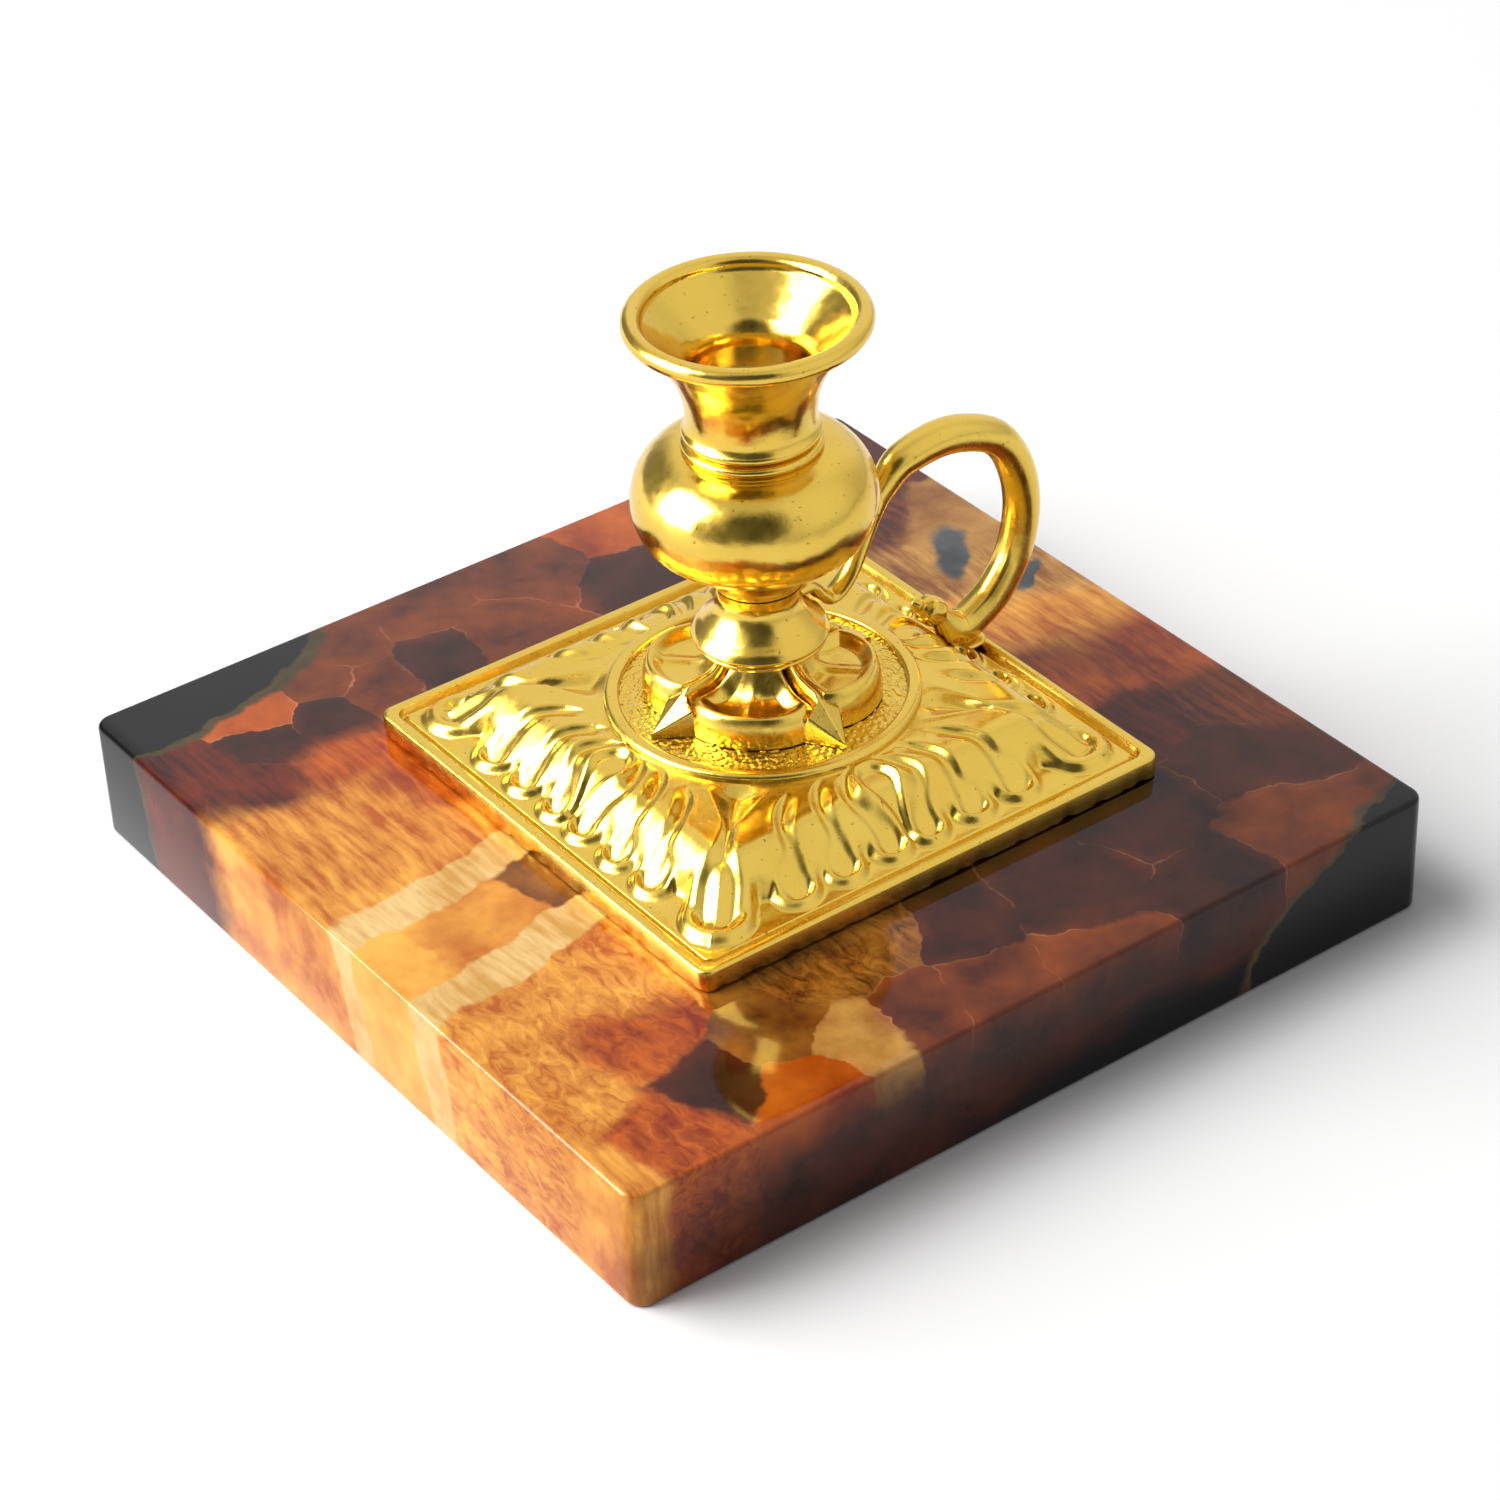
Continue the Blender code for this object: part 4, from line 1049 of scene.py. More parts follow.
    @staticmethod
    def join(first: np.ndarray, second: np.ndarray, soft: float = 0.3) -> np.ndarray:
        """Join two outlines, given as distances, with a small fillet between them."""
        return (np.minimum(first, second)
                - np.clip(soft - np.abs(first - second), 0.0, None) ** 2 / (4.0 * soft))


@dataclass
class FootPlate:
    """The square cast plate: lip, groove, leaf border, sails, ring and grained medallion."""

    half: float = 29.25
    corner: float = 1.5
    skirt: float = 0.75         # height over which the lower edge is uneven
    lip: float = 2.4
    lip_round: float = 0.3
    lip_inner: float = 27.95
    groove: float = 1.4
    ledge_edge: float = 27.25
    border_corner: Point = (0.8, 0.05)  # radius of the border's corners outside and inside
    ring_outer: float = 16.55
    ring_inner: float = 14.95
    ring_rounds: Point = (0.55, 0.45)   # radii of its outer and inner edge
    ring_top: float = 8.5
    ring_foot: float = 0.95     # how far the ring stands over the roof
    medallion: float = 7.85
    grain_inner: float = 8.6    # the grained floor runs in under the rosette
    grain_sink: float = 0.35
    grain_gap: float = 0.02
    pebble: float = 0.58        # size of the floor's grains
    pebble_rise: float = 0.12
    pebble_curve: float = 2.6   # how steeply a grain falls off from its middle
    pebble_level: float = 0.7   # share of a grain's rise that lies under the floor's level
    sail_half: float = 3.6      # half width of a sail where it leaves the ring
    sail_length: float = 7.8
    sail_dip: float = 0.85
    sail_run: float = 1.6       # length over which the dip begins
    sail_edge: float = 0.06
    sail_edge_width: float = 0.35
    sail_edge_run: float = 1.2
    bore: float = 2.3
    boss: float = 5.5
    wall: float = 1.7
    rim: float = 2.2
    wear: float = 1.6           # size of the unevenness of the lower edge
    wear_share: float = 0.15    # raises it to touch more of the edge
    wear_rise: float = 0.3
    wear_draw: float = 0.006    # share by which it draws the edge in
    polish: int = 6             # passes of the softening
    polish_along: int = 4       # every so many passes it also goes along the side
    per_side: int = 200
    border_rings: int = 72
    round_steps: int = 5
    grain_steps: int = 880
    grain_rings: int = 86
    crease: float = 50.0
    grain_crease: float = 70.0

    def build(self, stack: Stack, finish: GiltBrass, border: LeafBorder) -> None:
        """Cast the plate as one skin, from its outer edge over the top to the open underside.

        Args:
            stack: Places of the solids.
            finish: The metal.
            border: Relief of the leaf border.
        """
        rings = [self.uneven(self.square(self.half, self.corner, 0.0)), *self.edge(border)]
        start = self.ledge_edge - 0.1
        top = []
        for i in range(self.border_rings + 1):
            out = blend(start, border.inner - 0.2, i / self.border_rings)
            corner = max(self.border_corner[1], self.border_corner[0] - 2.0 * (start - out))
            ring = self.square(out, corner, 0.0)
            ring[:, 2] = self.relief(ring, border)
            top.append(ring)
        self.soften(top)
        rings += [*top, *self.sails(top[-1], border)]
        outer, inner = self.ring_rounds
        over = [*arc((self.ring_outer - outer, self.ring_top - outer), (outer, outer), 0.0, 90.0,
                     self.round_steps),
                *arc((self.ring_inner + inner, self.ring_top - inner), (inner, inner), 90.0, 180.0,
                     self.round_steps)]
        floor = self.medallion - self.grain_sink
        inside = border.roof - self.wall
        under = [(self.ring_inner, floor), (self.bore, floor), (self.bore, 0.0), (self.boss, 0.0),
                 (self.boss, inside), (0.8 * self.ring_inner, inside)]
        rings += [self.circle(radius, height) for radius, height in over + under]
        rings += [self.square(border.inner - self.wall / 2.0, 0.5, inside),
                  self.square(self.half - self.rim - self.wall, 1.0, self.wall / 4.0),
                  self.square(self.half - self.rim, 1.0, 0.0)]
        place = stack.seat("foot_plate")
        material = finish.material()
        finish_piece(loft(rings, closed=True), "foot_plate_cast", material, place,
                     "foot_plate", self.crease)
        finish_piece(loft(self.grained(), closed=True), "medallion_grained", material,
                     place, None, self.grain_crease)

    def edge(self, border: LeafBorder) -> list[np.ndarray]:
        """Return the rings of the lip and the groove.

        Args:
            border: Relief of the leaf border, whose ledge follows.

        Returns:
            The rings, from the plate's side to the ledge.
        """
        turned = 0.3 * self.lip_round
        section = ((self.half, self.corner, self.skirt),
                   (self.half, self.corner, self.lip - self.lip_round),
                   (self.half - turned, self.corner, self.lip - turned),
                   (self.half - self.lip_round, self.corner, self.lip),
                   (self.lip_inner + 0.2, 1.3, self.lip),
                   (self.lip_inner + 0.03, 1.25, self.lip - 0.1),
                   (self.lip_inner - 0.1, 1.2, self.groove + 0.15),
                   (self.lip_inner - 0.3, 1.1, self.groove),
                   (self.ledge_edge + 0.12, 1.0, self.groove + 0.1),
                   (self.ledge_edge, 0.9, border.ledge - 0.08))
        return [self.square(*row) for row in section]

    def uneven(self, ring: np.ndarray) -> np.ndarray:
        """Wear the plate's lower edge as the file left it, wandering up and inwards.

        Args:
            ring: The even edge, which is changed.

        Returns:
            The same ring.
        """
        for point in ring:
            worn = max(0.0, noise.noise(Vector(point) / self.wear) + self.wear_share)
            point[:2] *= 1.0 - self.wear_draw * worn
            point[2] += self.wear_rise * worn
        return ring

    def square(self, half: float, corner: float, height: float) -> np.ndarray:
        """Return a ring of points on a square with round corners.

        Args:
            half: Half the side.
            corner: Radius of the corners.
            height: Height of the ring.

        Returns:
            One row for each point, starting at a corner.
        """
        v = np.linspace(-half, half, self.per_side, endpoint=False)
        over = np.clip(np.abs(v) - (half - corner), 0.0, corner) / corner * QUARTER / 2.0
        x = half - corner + corner * np.cos(over)
        y = np.where(over > 0.0, np.sign(v) * (half - corner + corner * np.sin(over)), v)
        sides = [(x, y), (-y, x), (-x, -y), (y, -x)]
        return np.concatenate([np.stack([a, b, np.full_like(a, height)], 1) for a, b in sides])

    def circle(self, radius: float, height: float, count: int = 0) -> np.ndarray:
        """Return a ring of points on a circle.

        Args:
            radius: The circle's radius.
            height: Height of the ring.
            count: Number of points; with 0 they pair with those of a square.

        Returns:
            One row for each point, starting on a diagonal.
        """
        count = count or 4 * self.per_side
        turn = -QUARTER / 2.0 + 2.0 * math.pi * np.arange(count) / count
        return np.stack([radius * np.cos(turn), radius * np.sin(turn), np.full(count, height)], 1)

    def soften(self, rings: list[np.ndarray]) -> None:
        """Round the relief's edges as casting and polishing do.

        Args:
            rings: The border's rings, whose heights are changed.
        """
        height = np.stack([ring[:, 2] for ring in rings])
        for i in range(self.polish):
            if i % self.polish_along == 0:
                height = (np.roll(height, 1, 1) + 2.0 * height + np.roll(height, -1, 1)) / 4.0
            height[1:-1] = (height[:-2] + 2.0 * height[1:-1] + height[2:]) / 4.0
        for ring, row in zip(rings, height):
            ring[:, 2] = row

    @staticmethod
    def relief(ring: np.ndarray, border: LeafBorder) -> np.ndarray:
        """Return the leaf border's height at each point of a ring."""
        size = np.abs(ring[:, :2])
        return border.height(size.min(axis=1), size.max(axis=1))

    def sails(self, square: np.ndarray, border: LeafBorder, count: int = 12) -> list[np.ndarray]:
        """Return the rings of the roof between the leaf border and the round ring.

        Args:
            square: The border's innermost ring.
            border: Relief of the leaf border, whose strands run in over the roof.
            count: Number of rings.

        Returns:
            The rings, from the border inwards, with a pointed hollow on every diagonal.
        """
        foot = self.circle(self.ring_outer, self.ring_top - self.ring_foot)
        rings = []
        for i in range(1, count + 1):
            ring = blend(square, foot, i / count)
            size = np.abs(ring[:, :2])
            along = size.sum(axis=1) / ROOT_2 - self.ring_outer
            aside = np.abs(size[:, 0] - size[:, 1]) / ROOT_2
            wide = np.clip(self.sail_half * (1.0 - along / self.sail_length), 1e-3, None)
            hollow = np.cos(QUARTER * np.clip(aside / wide, 0.0, 1.0)) ** 2
            hollow = hollow * ease(0.0, self.sail_run, along)
            edge = bump(aside - wide, self.sail_edge_width) * ease(0.0, self.sail_edge_run, along)
            ring[:, 2] = blend(self.relief(ring, border), foot[:, 2], (i / count) ** 4)
            ring[:, 2] += self.sail_edge * edge - self.sail_dip * hollow
            rings.append(ring)
        return rings

    def grained(self) -> list[np.ndarray]:
        """Raise the medallion's floor into small round grains.

        Returns:
            The floor's rings, from its underside over its outer edge inwards.
        """
        low = self.medallion - self.grain_sink
        outer = self.ring_inner - self.grain_gap
        rings = [self.circle(self.grain_inner, low, self.grain_steps),
                 self.circle(outer, low, self.grain_steps)]
        for i in range(self.grain_rings):
            share = i / (self.grain_rings - 1)
            ring = self.circle(blend(outer, self.grain_inner, share), self.medallion, self.grain_steps)
            for point in ring:
                near = noise.voronoi(Vector((point[0], point[1], 0.0)) / self.pebble)[0][0]
                dome = math.sqrt(max(0.0, 1.0 - self.pebble_curve * near * near))
                point[2] += self.pebble_rise * (dome - self.pebble_level)
            rings.append(ring)
        return rings


@dataclass
class Rosette:
    """Round dished petals on the diagonals and pointed ridged sepals between them."""

    hub: float = 3.9
    bore: float = 2.3
    petal_centre: float = 6.6   # where a petal is widest
    # from there to the ends: back, left, front, right
    petal_lengths: tuple[float, ...] = (5.6, 6.0, 4.5, 5.9)
    petal_half_width: float = 6.8
    petal_wedge: float = 43.5   # angle off its middle line at which a sepal begins
    petal_rims: tuple[float, ...] = (3.9, 3.9, 3.2, 3.9)
    petal_wall: float = 0.9     # width of a petal's rounded rim
    petal_dish: float = 1.1
    dish_edge: Point = (0.9, 2.3)   # distance from the outline over which the dish deepens
    dish_inner: float = 6.0     # the dish fades out from here to the hub
    vein: Point = (0.3, 0.7)    # share of the dish that a petal's middle vein fills, and its width
    climb: Point = (3.9, 7.6)   # where the petals climb to the hub
    climb_power: float = 2.2
    sepal_reach: float = 14.2
    sepal_shoulder: float = 9.4
    sepal_half_width: float = 3.3
    sepal_rise: float = 4.1     # ridge over the floor at the shoulder
    sepal_neck: Point = (6.5, 4.6)  # where the ridge has come down from the hub, and its height
    sepal_root: float = 4.4     # where the ridge leaves the hub
    sepal_tip: float = 0.15     # height of the ridge at its tip
    sepal_flank: Point = (0.35, 2.95)   # gentle fall next to the ridge, steep one at the sides
    sepal_foot: float = 0.12
    sepal_fade: float = 0.5     # how far into a petal a sepal still shows
    steps: int = 640
    rings: int = 64
    ring_crowding: float = 1.35     # over 1 the rings lie closer at the outline
    outline_steps: int = 3000
    bed: float = 0.14           # how far the edges reach down to the grained floor
    crease: float = 50.0

    def build(self, stack: Stack, finish: GiltBrass) -> None:
        """Cast the rosette as one skin.

        Args:
            stack: Places of the solids.
            finish: The metal.
        """
        turn = 2.0 * math.pi * np.arange(self.steps) / self.steps
        tall = stack.tall("rosette")
        reach = self.outline(turn, tall)
        rings = [self.ring(turn, np.full_like(turn, self.bore), 0.0),
                 self.ring(turn, reach, -self.bed)]
        for i in range(1, self.rings + 1):
            share = (i / self.rings) ** self.ring_crowding
            radius = blend(reach, self.hub - 0.2, share)
            ring = self.ring(turn, radius, 0.0)
            ring[:, 2] = self.height(ring[:, 0], ring[:, 1], tall)
            rings.append(ring)
        rings += [self.ring(turn, np.full_like(turn, self.hub - 0.3), tall),
                  self.ring(turn, np.full_like(turn, self.bore), tall)]
        finish_piece(loft(rings, closed=True), "rosette_cast", finish.material(),
                     stack.seat("rosette"), "rosette", self.crease)

    @staticmethod
    def ring(turn: np.ndarray, radius: np.ndarray, height: float) -> np.ndarray:
        """Return a ring of points at the given angles and radii."""
        return np.stack([radius * np.cos(turn), radius * np.sin(turn),
                         np.full_like(turn, height)], 1)

    def outline(self, turn: np.ndarray, tall: float) -> np.ndarray:
        """Return how far the rosette reaches at each angle.

        Args:
            turn: Angles round the candle axis.
            tall: Height of the hub.

        Returns:
            The outline's distance from the axis.
        """
        radii = np.linspace(self.hub, self.sepal_reach, self.outline_steps)[:, None]
        height = self.height(radii * np.cos(turn), radii * np.sin(turn), tall)
        return np.where(height > 0.0, radii, self.hub).max(axis=0)

    def height(self, x: np.ndarray, y: np.ndarray, tall: float) -> np.ndarray:
        """Return the rosette's height over its underside.

        Args:
            x: Places across.
            y: Places along.
            tall: Height of the hub.

        Returns:
            One height for each place.
        """
        radius = np.hypot(x, y)
        turn = np.arctan2(y, x)
        off = turn % QUARTER - QUARTER / 2.0
        p, q = radius * np.cos(off), radius * np.sin(off)
        quarter = (turn // QUARTER).astype(int) % 4
        length = np.array(self.petal_lengths)[quarter]
        past = np.clip(p - self.petal_centre, 0.0, None) / length
        round_end = (1.0 - np.hypot(past, q / self.petal_half_width)) * length
        inside = np.minimum(round_end, radius * np.sin(math.radians(self.petal_wedge) - np.abs(off)))
        wall = np.clip(inside / self.petal_wall, 0.0, 1.0)
        near, far = self.climb
        rise = np.clip((far - radius) / (far - near), 0.0, 1.0) ** self.climb_power
        top = blend(np.array(self.petal_rims)[quarter], tall, rise)
        dish = self.petal_dish * ease(*self.dish_edge, inside) * ease(self.hub, self.dish_inner, radius)
        dish = dish * (1.0 - self.vein[0] * bump(q, self.vein[1]))
        petal = top * np.sqrt(1.0 - (1.0 - wall) ** 2) - dish
        off = (turn + QUARTER / 2.0) % QUARTER - QUARTER / 2.0
        p, q = radius * np.cos(off), np.abs(radius * np.sin(off))
        run = self.sepal_reach - self.sepal_shoulder
        width = np.clip(np.minimum(self.sepal_half_width * (self.sepal_reach - p) / run,
                                   self.sepal_half_width), 1e-3, None)
        line = ((self.sepal_root, tall), self.sepal_neck, (self.sepal_shoulder, self.sepal_rise),
                (self.sepal_reach, self.sepal_tip))
        ridge = np.interp(p, *zip(*line))
        side = q / width
        fall, steep = self.sepal_flank
        flank = np.clip(np.minimum(1.0 - fall * side, steep * (1.0 - side)), 0.0, 1.0)
        sepal = np.where(q < width, ridge * flank + self.sepal_foot, 0.0)
        sepal = sepal * (1.0 - ease(0.0, self.sepal_fade, inside))
        return np.clip(np.maximum(petal, sepal), 0.0, tall)


@dataclass
class Stem:
    """The three turned castings: knop, bulb and nozzle."""

    steps: int = 160
    crease: float = 60.0
    bore: float = 2.3
    waist: Point = (4.35, 5.6)
    knop_bell: Points = ((4.75, 4.2), (5.9, 2.75), (6.75, 1.95), (7.18, 1.25))
    knop_foot: Points = ((7.1, 0.95), (6.92, 0.8), (6.74, 0.74), (6.72, 0.66), (6.86, 0.58),
                         (6.9, 0.44), (6.84, 0.24), (6.66, 0.06), (6.5, 0.0))
    bulb_radius: float = 12.6
    bulb_equator: float = 9.95
    bulb_foot: float = 4.6
    chine_radius: float = 8.8
    chine_height: float = 4.7
    hollow_power: float = 1.6
    hollow_steps: int = 14
    cove_radius: float = 6.9
    cove_drop: float = 1.0
    bead_radius: float = 7.3
    neck_radius: float = 6.65
    neck_bead: Point = (0.5, 0.62)  # radius and height of the bead's section
    flare_radius: float = 10.9
    flare_foot: float = 1.9
    flare_power: float = 2.2
    flare_steps: int = 24
    rim_bead: float = 1.0
    rim_radius: float = 12.55
    nozzle_floor: float = 2.4
    socket_radius: float = 5.6
    socket_depth: float = 5.7
    # from the corner that the socket and the funnel would make
    socket_mouth: Points = ((0.0, -1.6), (0.07, -0.9), (0.28, -0.2), (0.6, 0.36))
    funnel_steps: int = 16

    def build(self, stack: Stack, finish: GiltBrass) -> None:
        """Turn the three castings.

        Args:
            stack: Places of the solids.
            finish: The metal.
        """
        material = finish.material()
        for node, profile in (("knop", self.knop), ("bulb", self.bulb), ("nozzle", self.nozzle)):
            finish_piece(spin(profile(stack.tall(node)), self.steps), f"{node}_turned", material,
                         stack.seat(node), node, self.crease)

    def knop(self, tall: float) -> list[Point]:
        """Draw the knop: waist, bell, a fine groove and the foot bead.

        Args:
            tall: The knop's height.

        Returns:
            Its profile.
        """
        bell = curve([(self.bulb_foot, tall), self.waist, *self.knop_bell], 6)
        return [(self.bore, tall), *map(tuple, bell), *self.knop_foot, (self.bore, 0.0)]

    def bulb(self, tall: float) -> list[Point]:
        """Draw the bulb: top bead, cove, round side and hollow underside.

        Args:
            tall: The bulb's height.

        Returns:
            Its profile.
        """
        cove = tall - self.cove_drop
        half = self.cove_drop / 2.0
        upper = arc((self.cove_radius, self.bulb_equator),
                    (self.bulb_radius - self.cove_radius, cove - self.bulb_equator), 84.0, 0.0, 28)
        lower = arc((self.chine_radius, self.bulb_equator),
                    (self.bulb_radius - self.chine_radius, self.bulb_equator - self.chine_height),
                    -4.0, -86.0, 20)
        shares = [1.0 - i / self.hollow_steps for i in range(self.hollow_steps + 1)]
        hollow = [(blend(self.bulb_foot, self.chine_radius, share ** self.hollow_power),
                   self.chine_height * share) for share in shares]
        bead = arc((self.bead_radius - half, tall - half), (half, half), 75.0, -70.0, 10)
        return [(self.bore, tall), (self.bead_radius - 0.8 * half, tall), *bead, *upper, *lower,
                *hollow, (self.bore, 0.0)]

    def nozzle(self, tall: float) -> list[Point]:
        """Draw the nozzle: socket, funnel, rolled rim, flare and the neck's bead.

        Args:
            tall: The nozzle's height.

        Returns:
            Its profile.
        """
        rim = (self.rim_radius - self.rim_bead, tall - self.rim_bead)
        flare_top = tall - 2.5 * self.rim_bead
        shares = [1.0 - i / self.flare_steps for i in range(self.flare_steps + 1)]
        outside = [(blend(self.neck_radius, self.flare_radius, share ** self.flare_power),
                    blend(self.flare_foot, flare_top, share)) for share in shares]
        deep = self.nozzle_floor + self.socket_depth
        shares = [i / self.funnel_steps for i in range(3, self.funnel_steps + 1)]
        funnel = [(blend(self.socket_radius, rim[0] - 0.95 * self.rim_bead, share),
                   blend(deep, rim[1] - 0.15, share)) for share in shares]
        size, height = self.neck_bead
        return [(self.bore, self.nozzle_floor), (self.socket_radius - 0.3, self.nozzle_floor),
                (self.socket_radius - 0.1, self.nozzle_floor + 0.3),
                *((self.socket_radius + out, deep + up) for out, up in self.socket_mouth), *funnel,
                *arc(rim, (self.rim_bead, self.rim_bead), 168.0, -72.0, 22), *outside,
                *arc((self.neck_radius, height), (size, size), 62.0, -78.0, 8),
                (self.neck_radius - 0.1, 0.0), (self.bore, 0.0)]


@dataclass
class Handle:
    """The looped bar, drawn in the upright plane through the candle axis."""

    root: float = 3.9           # tenon over the knop's foot
    thin: float = 0.75
    strip_half: float = 1.3     # half width of the thin strip next to the knop
    strip_knots: int = 11
    bar: float = 1.95
    dip: float = 2.55
    dip_gap: float = 0.75
    strip_rise: float = 5.4
    shoulder: float = 18.6
    top: float = 29.0           # middle of the bar over the foot plate's underside
    outer: float = 34.75
    rivet: float = 26.65
    seat: float = 2.6           # underside of the bar's foot, just over the plate's lip
    knop_radius: float = 7.2
    tenon: float = 3.55
    shoulder_root: float = 6.15
    bud: float = 1.65
    bud_length: float = 3.1
    bud_neck: float = 1.1
    bud_tip: float = 0.75
    bud_tip_length: float = 1.5
    bud_rise: float = 40.0
    curl: float = 4.4
    seam: float = 38.0          # parting lines, in degrees off the middle of the inner face
    seam_rise: float = 0.13
    seam_width: float = 0.09    # in radians
    seam_from: Point = (1.2, 1.7)   # radii of the bar between which the lines begin
    section: int = 40
    span: int = 10
    lump: Point = (27.2, 2.45)  # place and height of the solder under the bar
    lump_radii: tuple[float, float, float] = (2.3, 1.7, 0.5)
    lump_grain: float = 1.6
    lump_rough: float = 0.2
    crease: float = 60.0

    def build(self, stack: Stack, finish: GiltBrass) -> None:
        """Sweep the bar along its path, close it with the bud and solder it to the plate.

        Args:
            stack: Places of the solids.
            finish: The metal.
        """
        path = curve(self.path(stack), self.span)
        turn = 2.0 * math.pi * np.arange(self.section) / self.section
        off = np.abs(turn - math.pi) - math.radians(self.seam)
        ridge = self.seam_rise * bump(off, self.seam_width)
        rings = []
        for i, (x, z, radius) in enumerate(path):
            step = path[min(i + 1, len(path) - 1)] - path[max(i - 1, 0)]
            ahead = step[:2] / np.linalg.norm(step[:2])
            size = radius + ridge * ease(*self.seam_from, radius)
            side = size * np.cos(turn)
            wide = max(1.0, self.strip_half / radius) if i < self.strip_knots * self.span else 1.0
            rings.append(np.stack([x - ahead[1] * side, wide * size * np.sin(turn),
                                   z + ahead[0] * side], 1))
        material = finish.material()
        finish_piece(loft(rings, closed=False), "handle_cast", material,
                     (*stack.axis, 0.0), "handle", self.crease)
        bm = bmesh.new()
        bmesh.ops.create_icosphere(bm, subdivisions=5, radius=1.0,
                                   matrix=Matrix.Diagonal((*self.lump_radii, 1.0)))
        for vert in bm.verts:
            vert.co *= 1.0 + self.lump_rough * noise.noise(vert.co / self.lump_grain)
        out, up = self.lump
        finish_piece(bm, "handle_solder", material,
                     (stack.axis[0] + out, stack.axis[1], stack.low["foot_plate"] + up))

    def path(self, stack: Stack) -> list[tuple[float, float, float]]:
        """Return the middle line as (distance from the axis, height, radius).

        Args:
            stack: Places of the solids.

        Returns:
            The points from the tenon to the tip of the bud.
        """
        root = stack.low["knop"] + self.root
        base = stack.low["foot_plate"]
        top = base + self.top
        seat = base + self.seat + self.bar
        crest = blend(self.shoulder, self.outer, 0.37)
        low = self.knop_radius + self.dip_gap + self.thin
        strip = root + self.strip_rise
        line = [(self.tenon, root, self.thin), (self.shoulder_root, root, self.thin),
                (blend(self.shoulder_root, low, 0.5), root - 0.55 * self.dip, self.thin),
                (low, root - self.dip, self.thin),
                (low + 1.8 * self.thin, root - 0.85 * self.dip, self.thin),
                (blend(low, self.shoulder, 0.3), root - 0.2 * self.dip, self.thin),
                (blend(low, self.shoulder, 0.44), root + 0.4 * self.strip_rise, 1.1 * self.thin),
                (blend(low, self.shoulder, 0.6), strip, blend(self.thin, self.bar, 0.3)),
                (blend(low, self.shoulder, 0.76), blend(strip, top, 0.46),
                 blend(self.thin, self.bar, 0.6)),
                (self.shoulder, blend(strip, top, 0.87), blend(self.thin, self.bar, 0.88)),
                (crest, top, self.bar)]
        middle = blend(seat, top, 0.5)
        for angle in (54.0, 27.0, 0.0, -27.0, -52.0, -70.0):
            turn = math.radians(angle)
            line.append((blend(crest, self.outer, math.cos(turn)),
                         middle + (top - middle) * math.sin(turn), self.bar))
        line += [(self.rivet - 0.45, seat + 0.05, self.bar),
                 (self.rivet - 1.75, seat + 0.6, 0.92 * self.bar)]
        run, rise = -math.cos(math.radians(self.bud_rise)), math.sin(math.radians(self.bud_rise))
        total = self.bud_length + self.bud_tip_length
        stages = ((0.0, self.bud_neck), (0.12, 0.92 * self.bud), (0.42, self.bud),
                  (0.8, 0.86 * self.bud), (1.0, 0.82 * self.bud_tip),
                  (blend(1.0, total / self.bud_length, 0.5), self.bud_tip),
                  (total / self.bud_length, 0.3 * self.bud_tip))
        for share, radius in stages:
            far = self.curl + share * self.bud_length
            line.append((self.rivet + run * far, seat + rise * far, radius))
        return line


@dataclass
class Hardware:
    """The fastenings that hold the stack together; their solids stay and only get a finish."""

    def dress(self, nodes: dict[str, bpy.types.Object]) -> None:
        """Give every fastening its metal.

        Args:
            nodes: The frame's solids by name.
        """
        plated = PlatedSteel("steel_turned_plated").material()
        sprung = PlatedSteel("spring_steel_blued", "#6A6C72", "#4A4C52").material()
        riveted = GiltBrass("brass_riveted_gilt", dull=0.34).material()
        for name, material in (("tie_screw", plated), ("tie_washer", plated), ("tie_nut", plated),
                               ("lock_washer", sprung), ("handle_rivet", riveted)):
            nodes[name].data.materials.clear()
            nodes[name].data.materials.append(material)
            LOG.info("%s: dressed in %s", name, material.name)


@dataclass(frozen=True)
class Flag:
    """A part of the room, paler or darker than its walls, that only shows as a reflection."""

    azimuth: float
    elevation: float
    core: float                 # radius in degrees that has its full level
    reach: float                # radius in degrees at which it has faded out
    level: float


@dataclass(frozen=True)
class SoftBox:
    """A soft box, as one rectangle that faces the object."""

    azimuth: float
    elevation: float
    distance: float             # in metres, as are the sides
    sides: Point
    aim: float = 0.03           # height of the place that it faces

    def pose(self) -> Matrix:
        """Stand the rectangle in its place.

        Returns:
            Its matrix.
        """
        toward = direction(self.azimuth, self.elevation)
        place = Matrix.Translation(toward * self.distance + Vector((0.0, 0.0, self.aim)))
        return place @ toward.to_track_quat("Z", "Y").to_matrix().to_4x4()


def direction(azimuth: float, elevation: float) -> Vector:
    """Return the unit vector to a place round the object, as the views count angles."""
    a, e = math.radians(azimuth), math.radians(elevation)
    return Vector((math.sin(a) * math.cos(e), -math.cos(a) * math.cos(e), math.sin(e)))


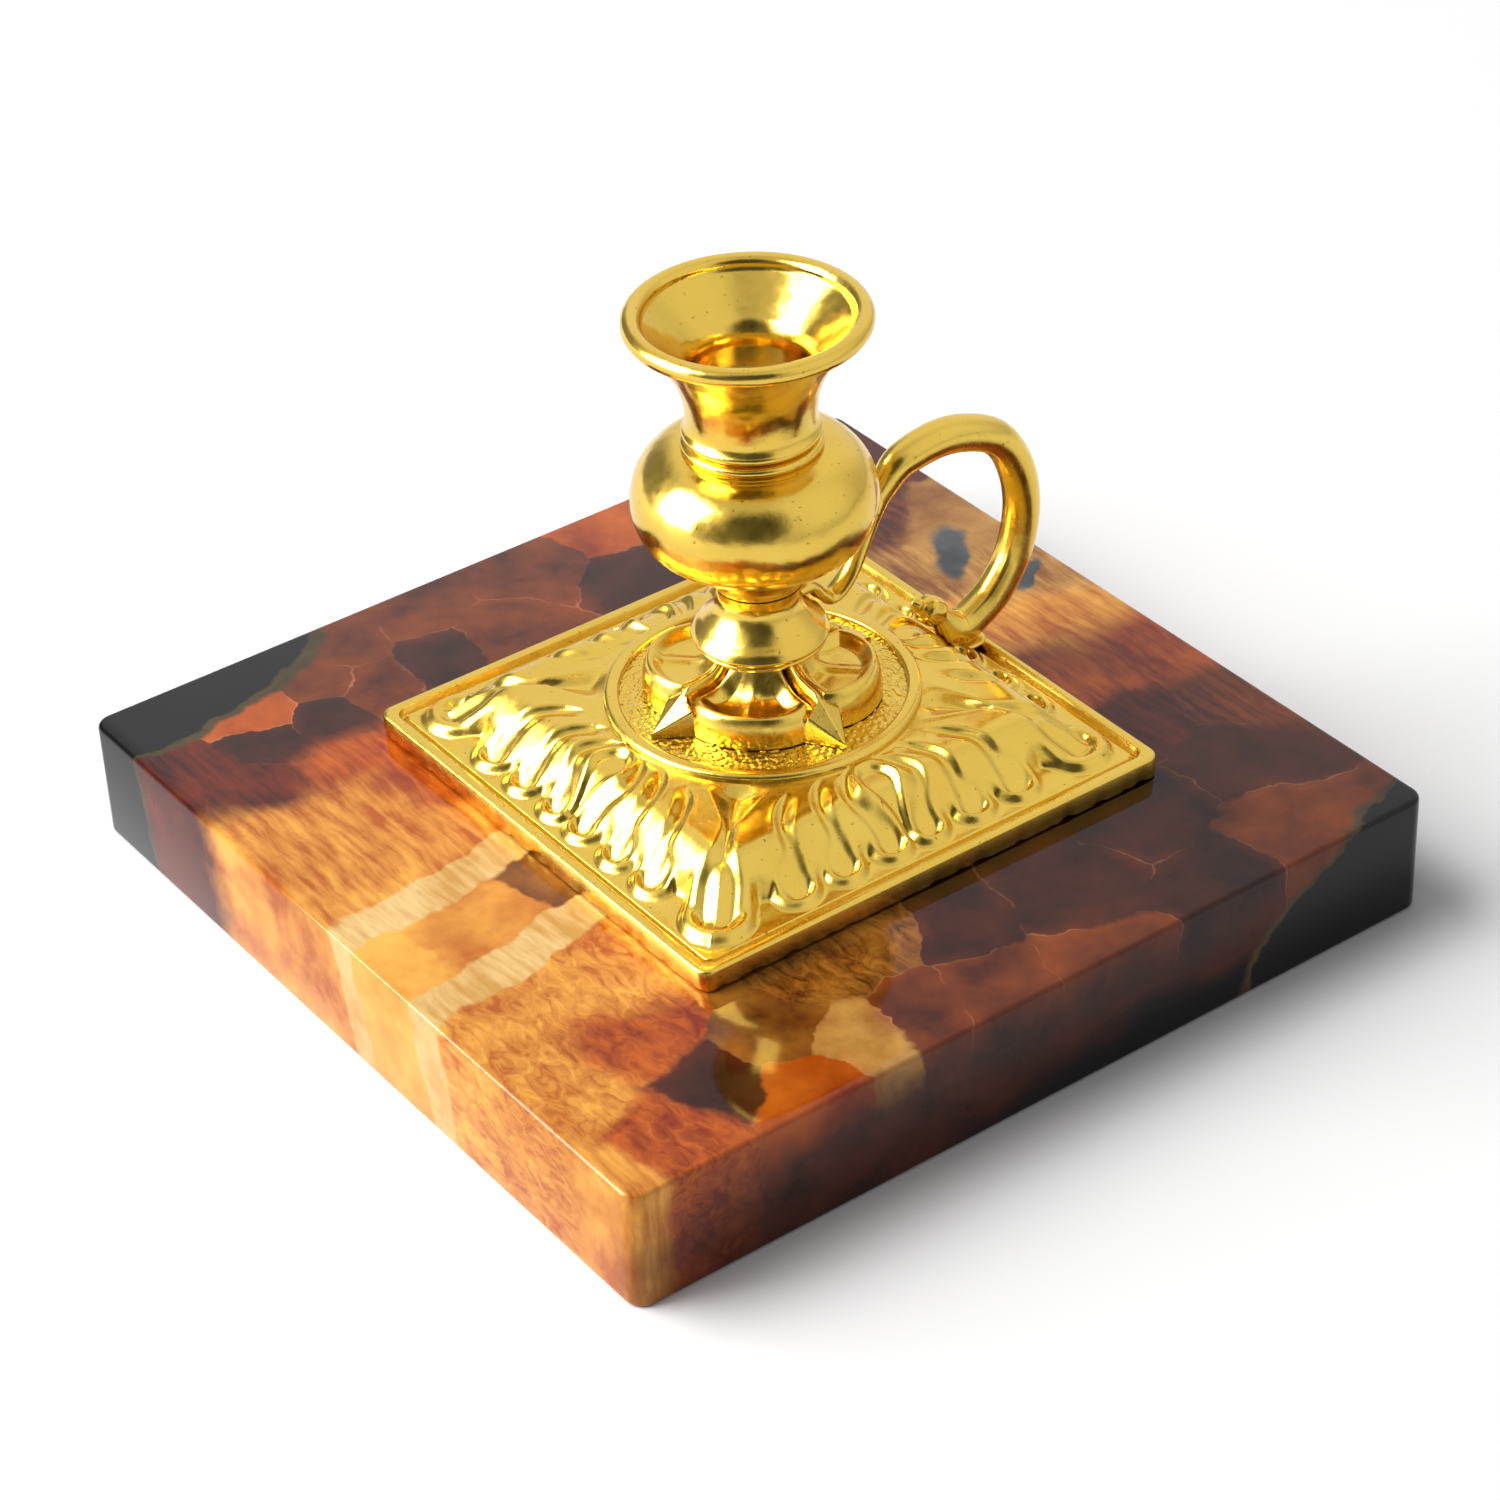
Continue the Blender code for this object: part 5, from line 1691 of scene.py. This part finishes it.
@dataclass
class Studio:
    """Floor, lights and camera."""

    fill: float = 0.26          # even light from the room
    walls: float = 0.66         # how bright the room looks in the metal
    flags: tuple[Flag, ...] = (Flag(36.0, 37.0, 14.0, 50.0, 0.95),
                               Flag(145.0, 35.0, 26.0, 60.0, 0.98),
                               Flag(-36.0, 30.0, 17.0, 36.0, 0.08),
                               Flag(-66.0, 16.0, 8.0, 26.0, 0.14),
                               Flag(-170.0, 15.0, 12.0, 34.0, 0.25))
    lamp: SoftBox = SoftBox(-130.0, 42.0, 2.4, (1.9, 2.4))
    watts: float = 90.0
    face: SoftBox = SoftBox(-115.0, 31.0, 0.4, (0.29, 0.37))
    face_level: float = 16.0
    floor_half: float = 6.0
    camera_place: tuple[float, float, float] = (-210.278, -300.168, 272.353)
    camera_turn: tuple[float, float, float] = (54.8652, 2.0718, -36.5636)
    lens: float = 102.9
    sensor: float = 36.0

    def build(self) -> None:
        """Set up the floor, the room, the key light and the camera."""
        self.floor()
        self.room()
        self.key()
        self.camera()
        bpy.context.scene.view_settings.view_transform = "Standard"

    def floor(self) -> None:
        """Lay the pale floor."""
        bm = bmesh.new()
        bmesh.ops.create_grid(bm, x_segments=8, y_segments=8, size=self.floor_half)
        floor = to_object(bm, "floor")
        floor.data.materials.append(new_material(
            "paper_white_matt", {"Base Color": linear("#FBFBFB"), "Roughness": 0.9,
                                 "Specular IOR Level": 0.1}))

    def room(self) -> None:
        """Fill the room with even light; the metal sees pale walls with the flags before them."""
        world = bpy.data.worlds.new("studio")
        bpy.context.scene.world = world
        world.use_nodes = True
        tree = world.node_tree
        ray = add_node(tree, "ShaderNodeTexCoord").outputs["Generated"]
        path = add_node(tree, "ShaderNodeLightPath").outputs
        seen: Any = self.grey(self.walls)
        for flag in self.flags:
            toward = vector_math(tree, "DOT_PRODUCT", ray, direction(flag.azimuth, flag.elevation))
            limits = (math.cos(math.radians(flag.reach)), math.cos(math.radians(flag.core)))
            mask = ramp(tree, toward.outputs["Value"], limits, kind="SMOOTHSTEP")
            seen = mix(tree, mask, seen, self.grey(flag.level))
        mirrored = compute(tree, "MAXIMUM", path["Is Glossy Ray"], path["Is Transmission Ray"])
        level = mix(tree, mirrored, self.grey(self.fill), seen)
        level = mix(tree, path["Is Camera Ray"], level, linear("#FFFFFF"))
        set_inputs(tree, tree.nodes["Background"], {"Color": level})

    @staticmethod
    def grey(level: float) -> tuple[float, float, float, float]:
        """Return a grey of one level."""
        return (level, level, level, 1.0)

    def key(self) -> None:
        """Hang the soft box: a far lamp for even light, and a near face for the reflections."""
        lamp = bpy.data.lights.new("key", "AREA")
        lamp.shape = "RECTANGLE"
        lamp.size, lamp.size_y = self.lamp.sides
        lamp.energy = self.watts
        light = bpy.data.objects.new("key", lamp)
        light.matrix_world = self.lamp.pose()
        light.visible_glossy = False
        bpy.context.scene.collection.objects.link(light)
        bm = bmesh.new()
        bmesh.ops.create_grid(bm, x_segments=1, y_segments=1, size=0.5,
                              matrix=Matrix.Diagonal((*self.face.sides, 1.0, 1.0)))
        face = to_object(bm, "key_face")
        face.data.materials.append(new_material(
            "soft_box_cloth", {"Base Color": linear("#000000"), "Emission Color": linear("#FFFFFF"),
                               "Emission Strength": self.face_level}))
        face.matrix_world = self.face.pose()
        face.visible_camera = False
        face.visible_diffuse = False
        face.visible_shadow = False
        face.visible_transmission = False

    def camera(self) -> None:
        """Stand the camera where the photograph was taken from."""
        data = bpy.data.cameras.new("camera")
        data.sensor_width = self.sensor
        data.lens = self.lens
        camera = bpy.data.objects.new("camera", data)
        camera.location = Vector(self.camera_place) * MM
        camera.rotation_euler = Euler([math.radians(a) for a in self.camera_turn], "XYZ")
        bpy.context.scene.collection.objects.link(camera)
        bpy.context.scene.camera = camera


def main() -> None:
    """Build every piece in order, dress it and light it."""
    logging.basicConfig(level=logging.INFO, format="%(name)s: %(message)s")
    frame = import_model()
    stack = Stack.read(list(frame["nodes"]))
    cast = GiltBrass("brass_cast_gilt")
    turned = GiltBrass("brass_turned_gilt", smooth=0.14, dull=0.24, swell_depth=0.08, tool_pitch=0.4)
    Slab().build(stack, BandedStone())
    FootPlate().build(stack, cast, LeafBorder())
    Rosette().build(stack, cast)
    Stem().build(stack, turned)
    Handle().build(stack, cast)
    Hardware().dress(frame["nodes"])
    Studio().build()


if __name__ == "__main__":
    main()
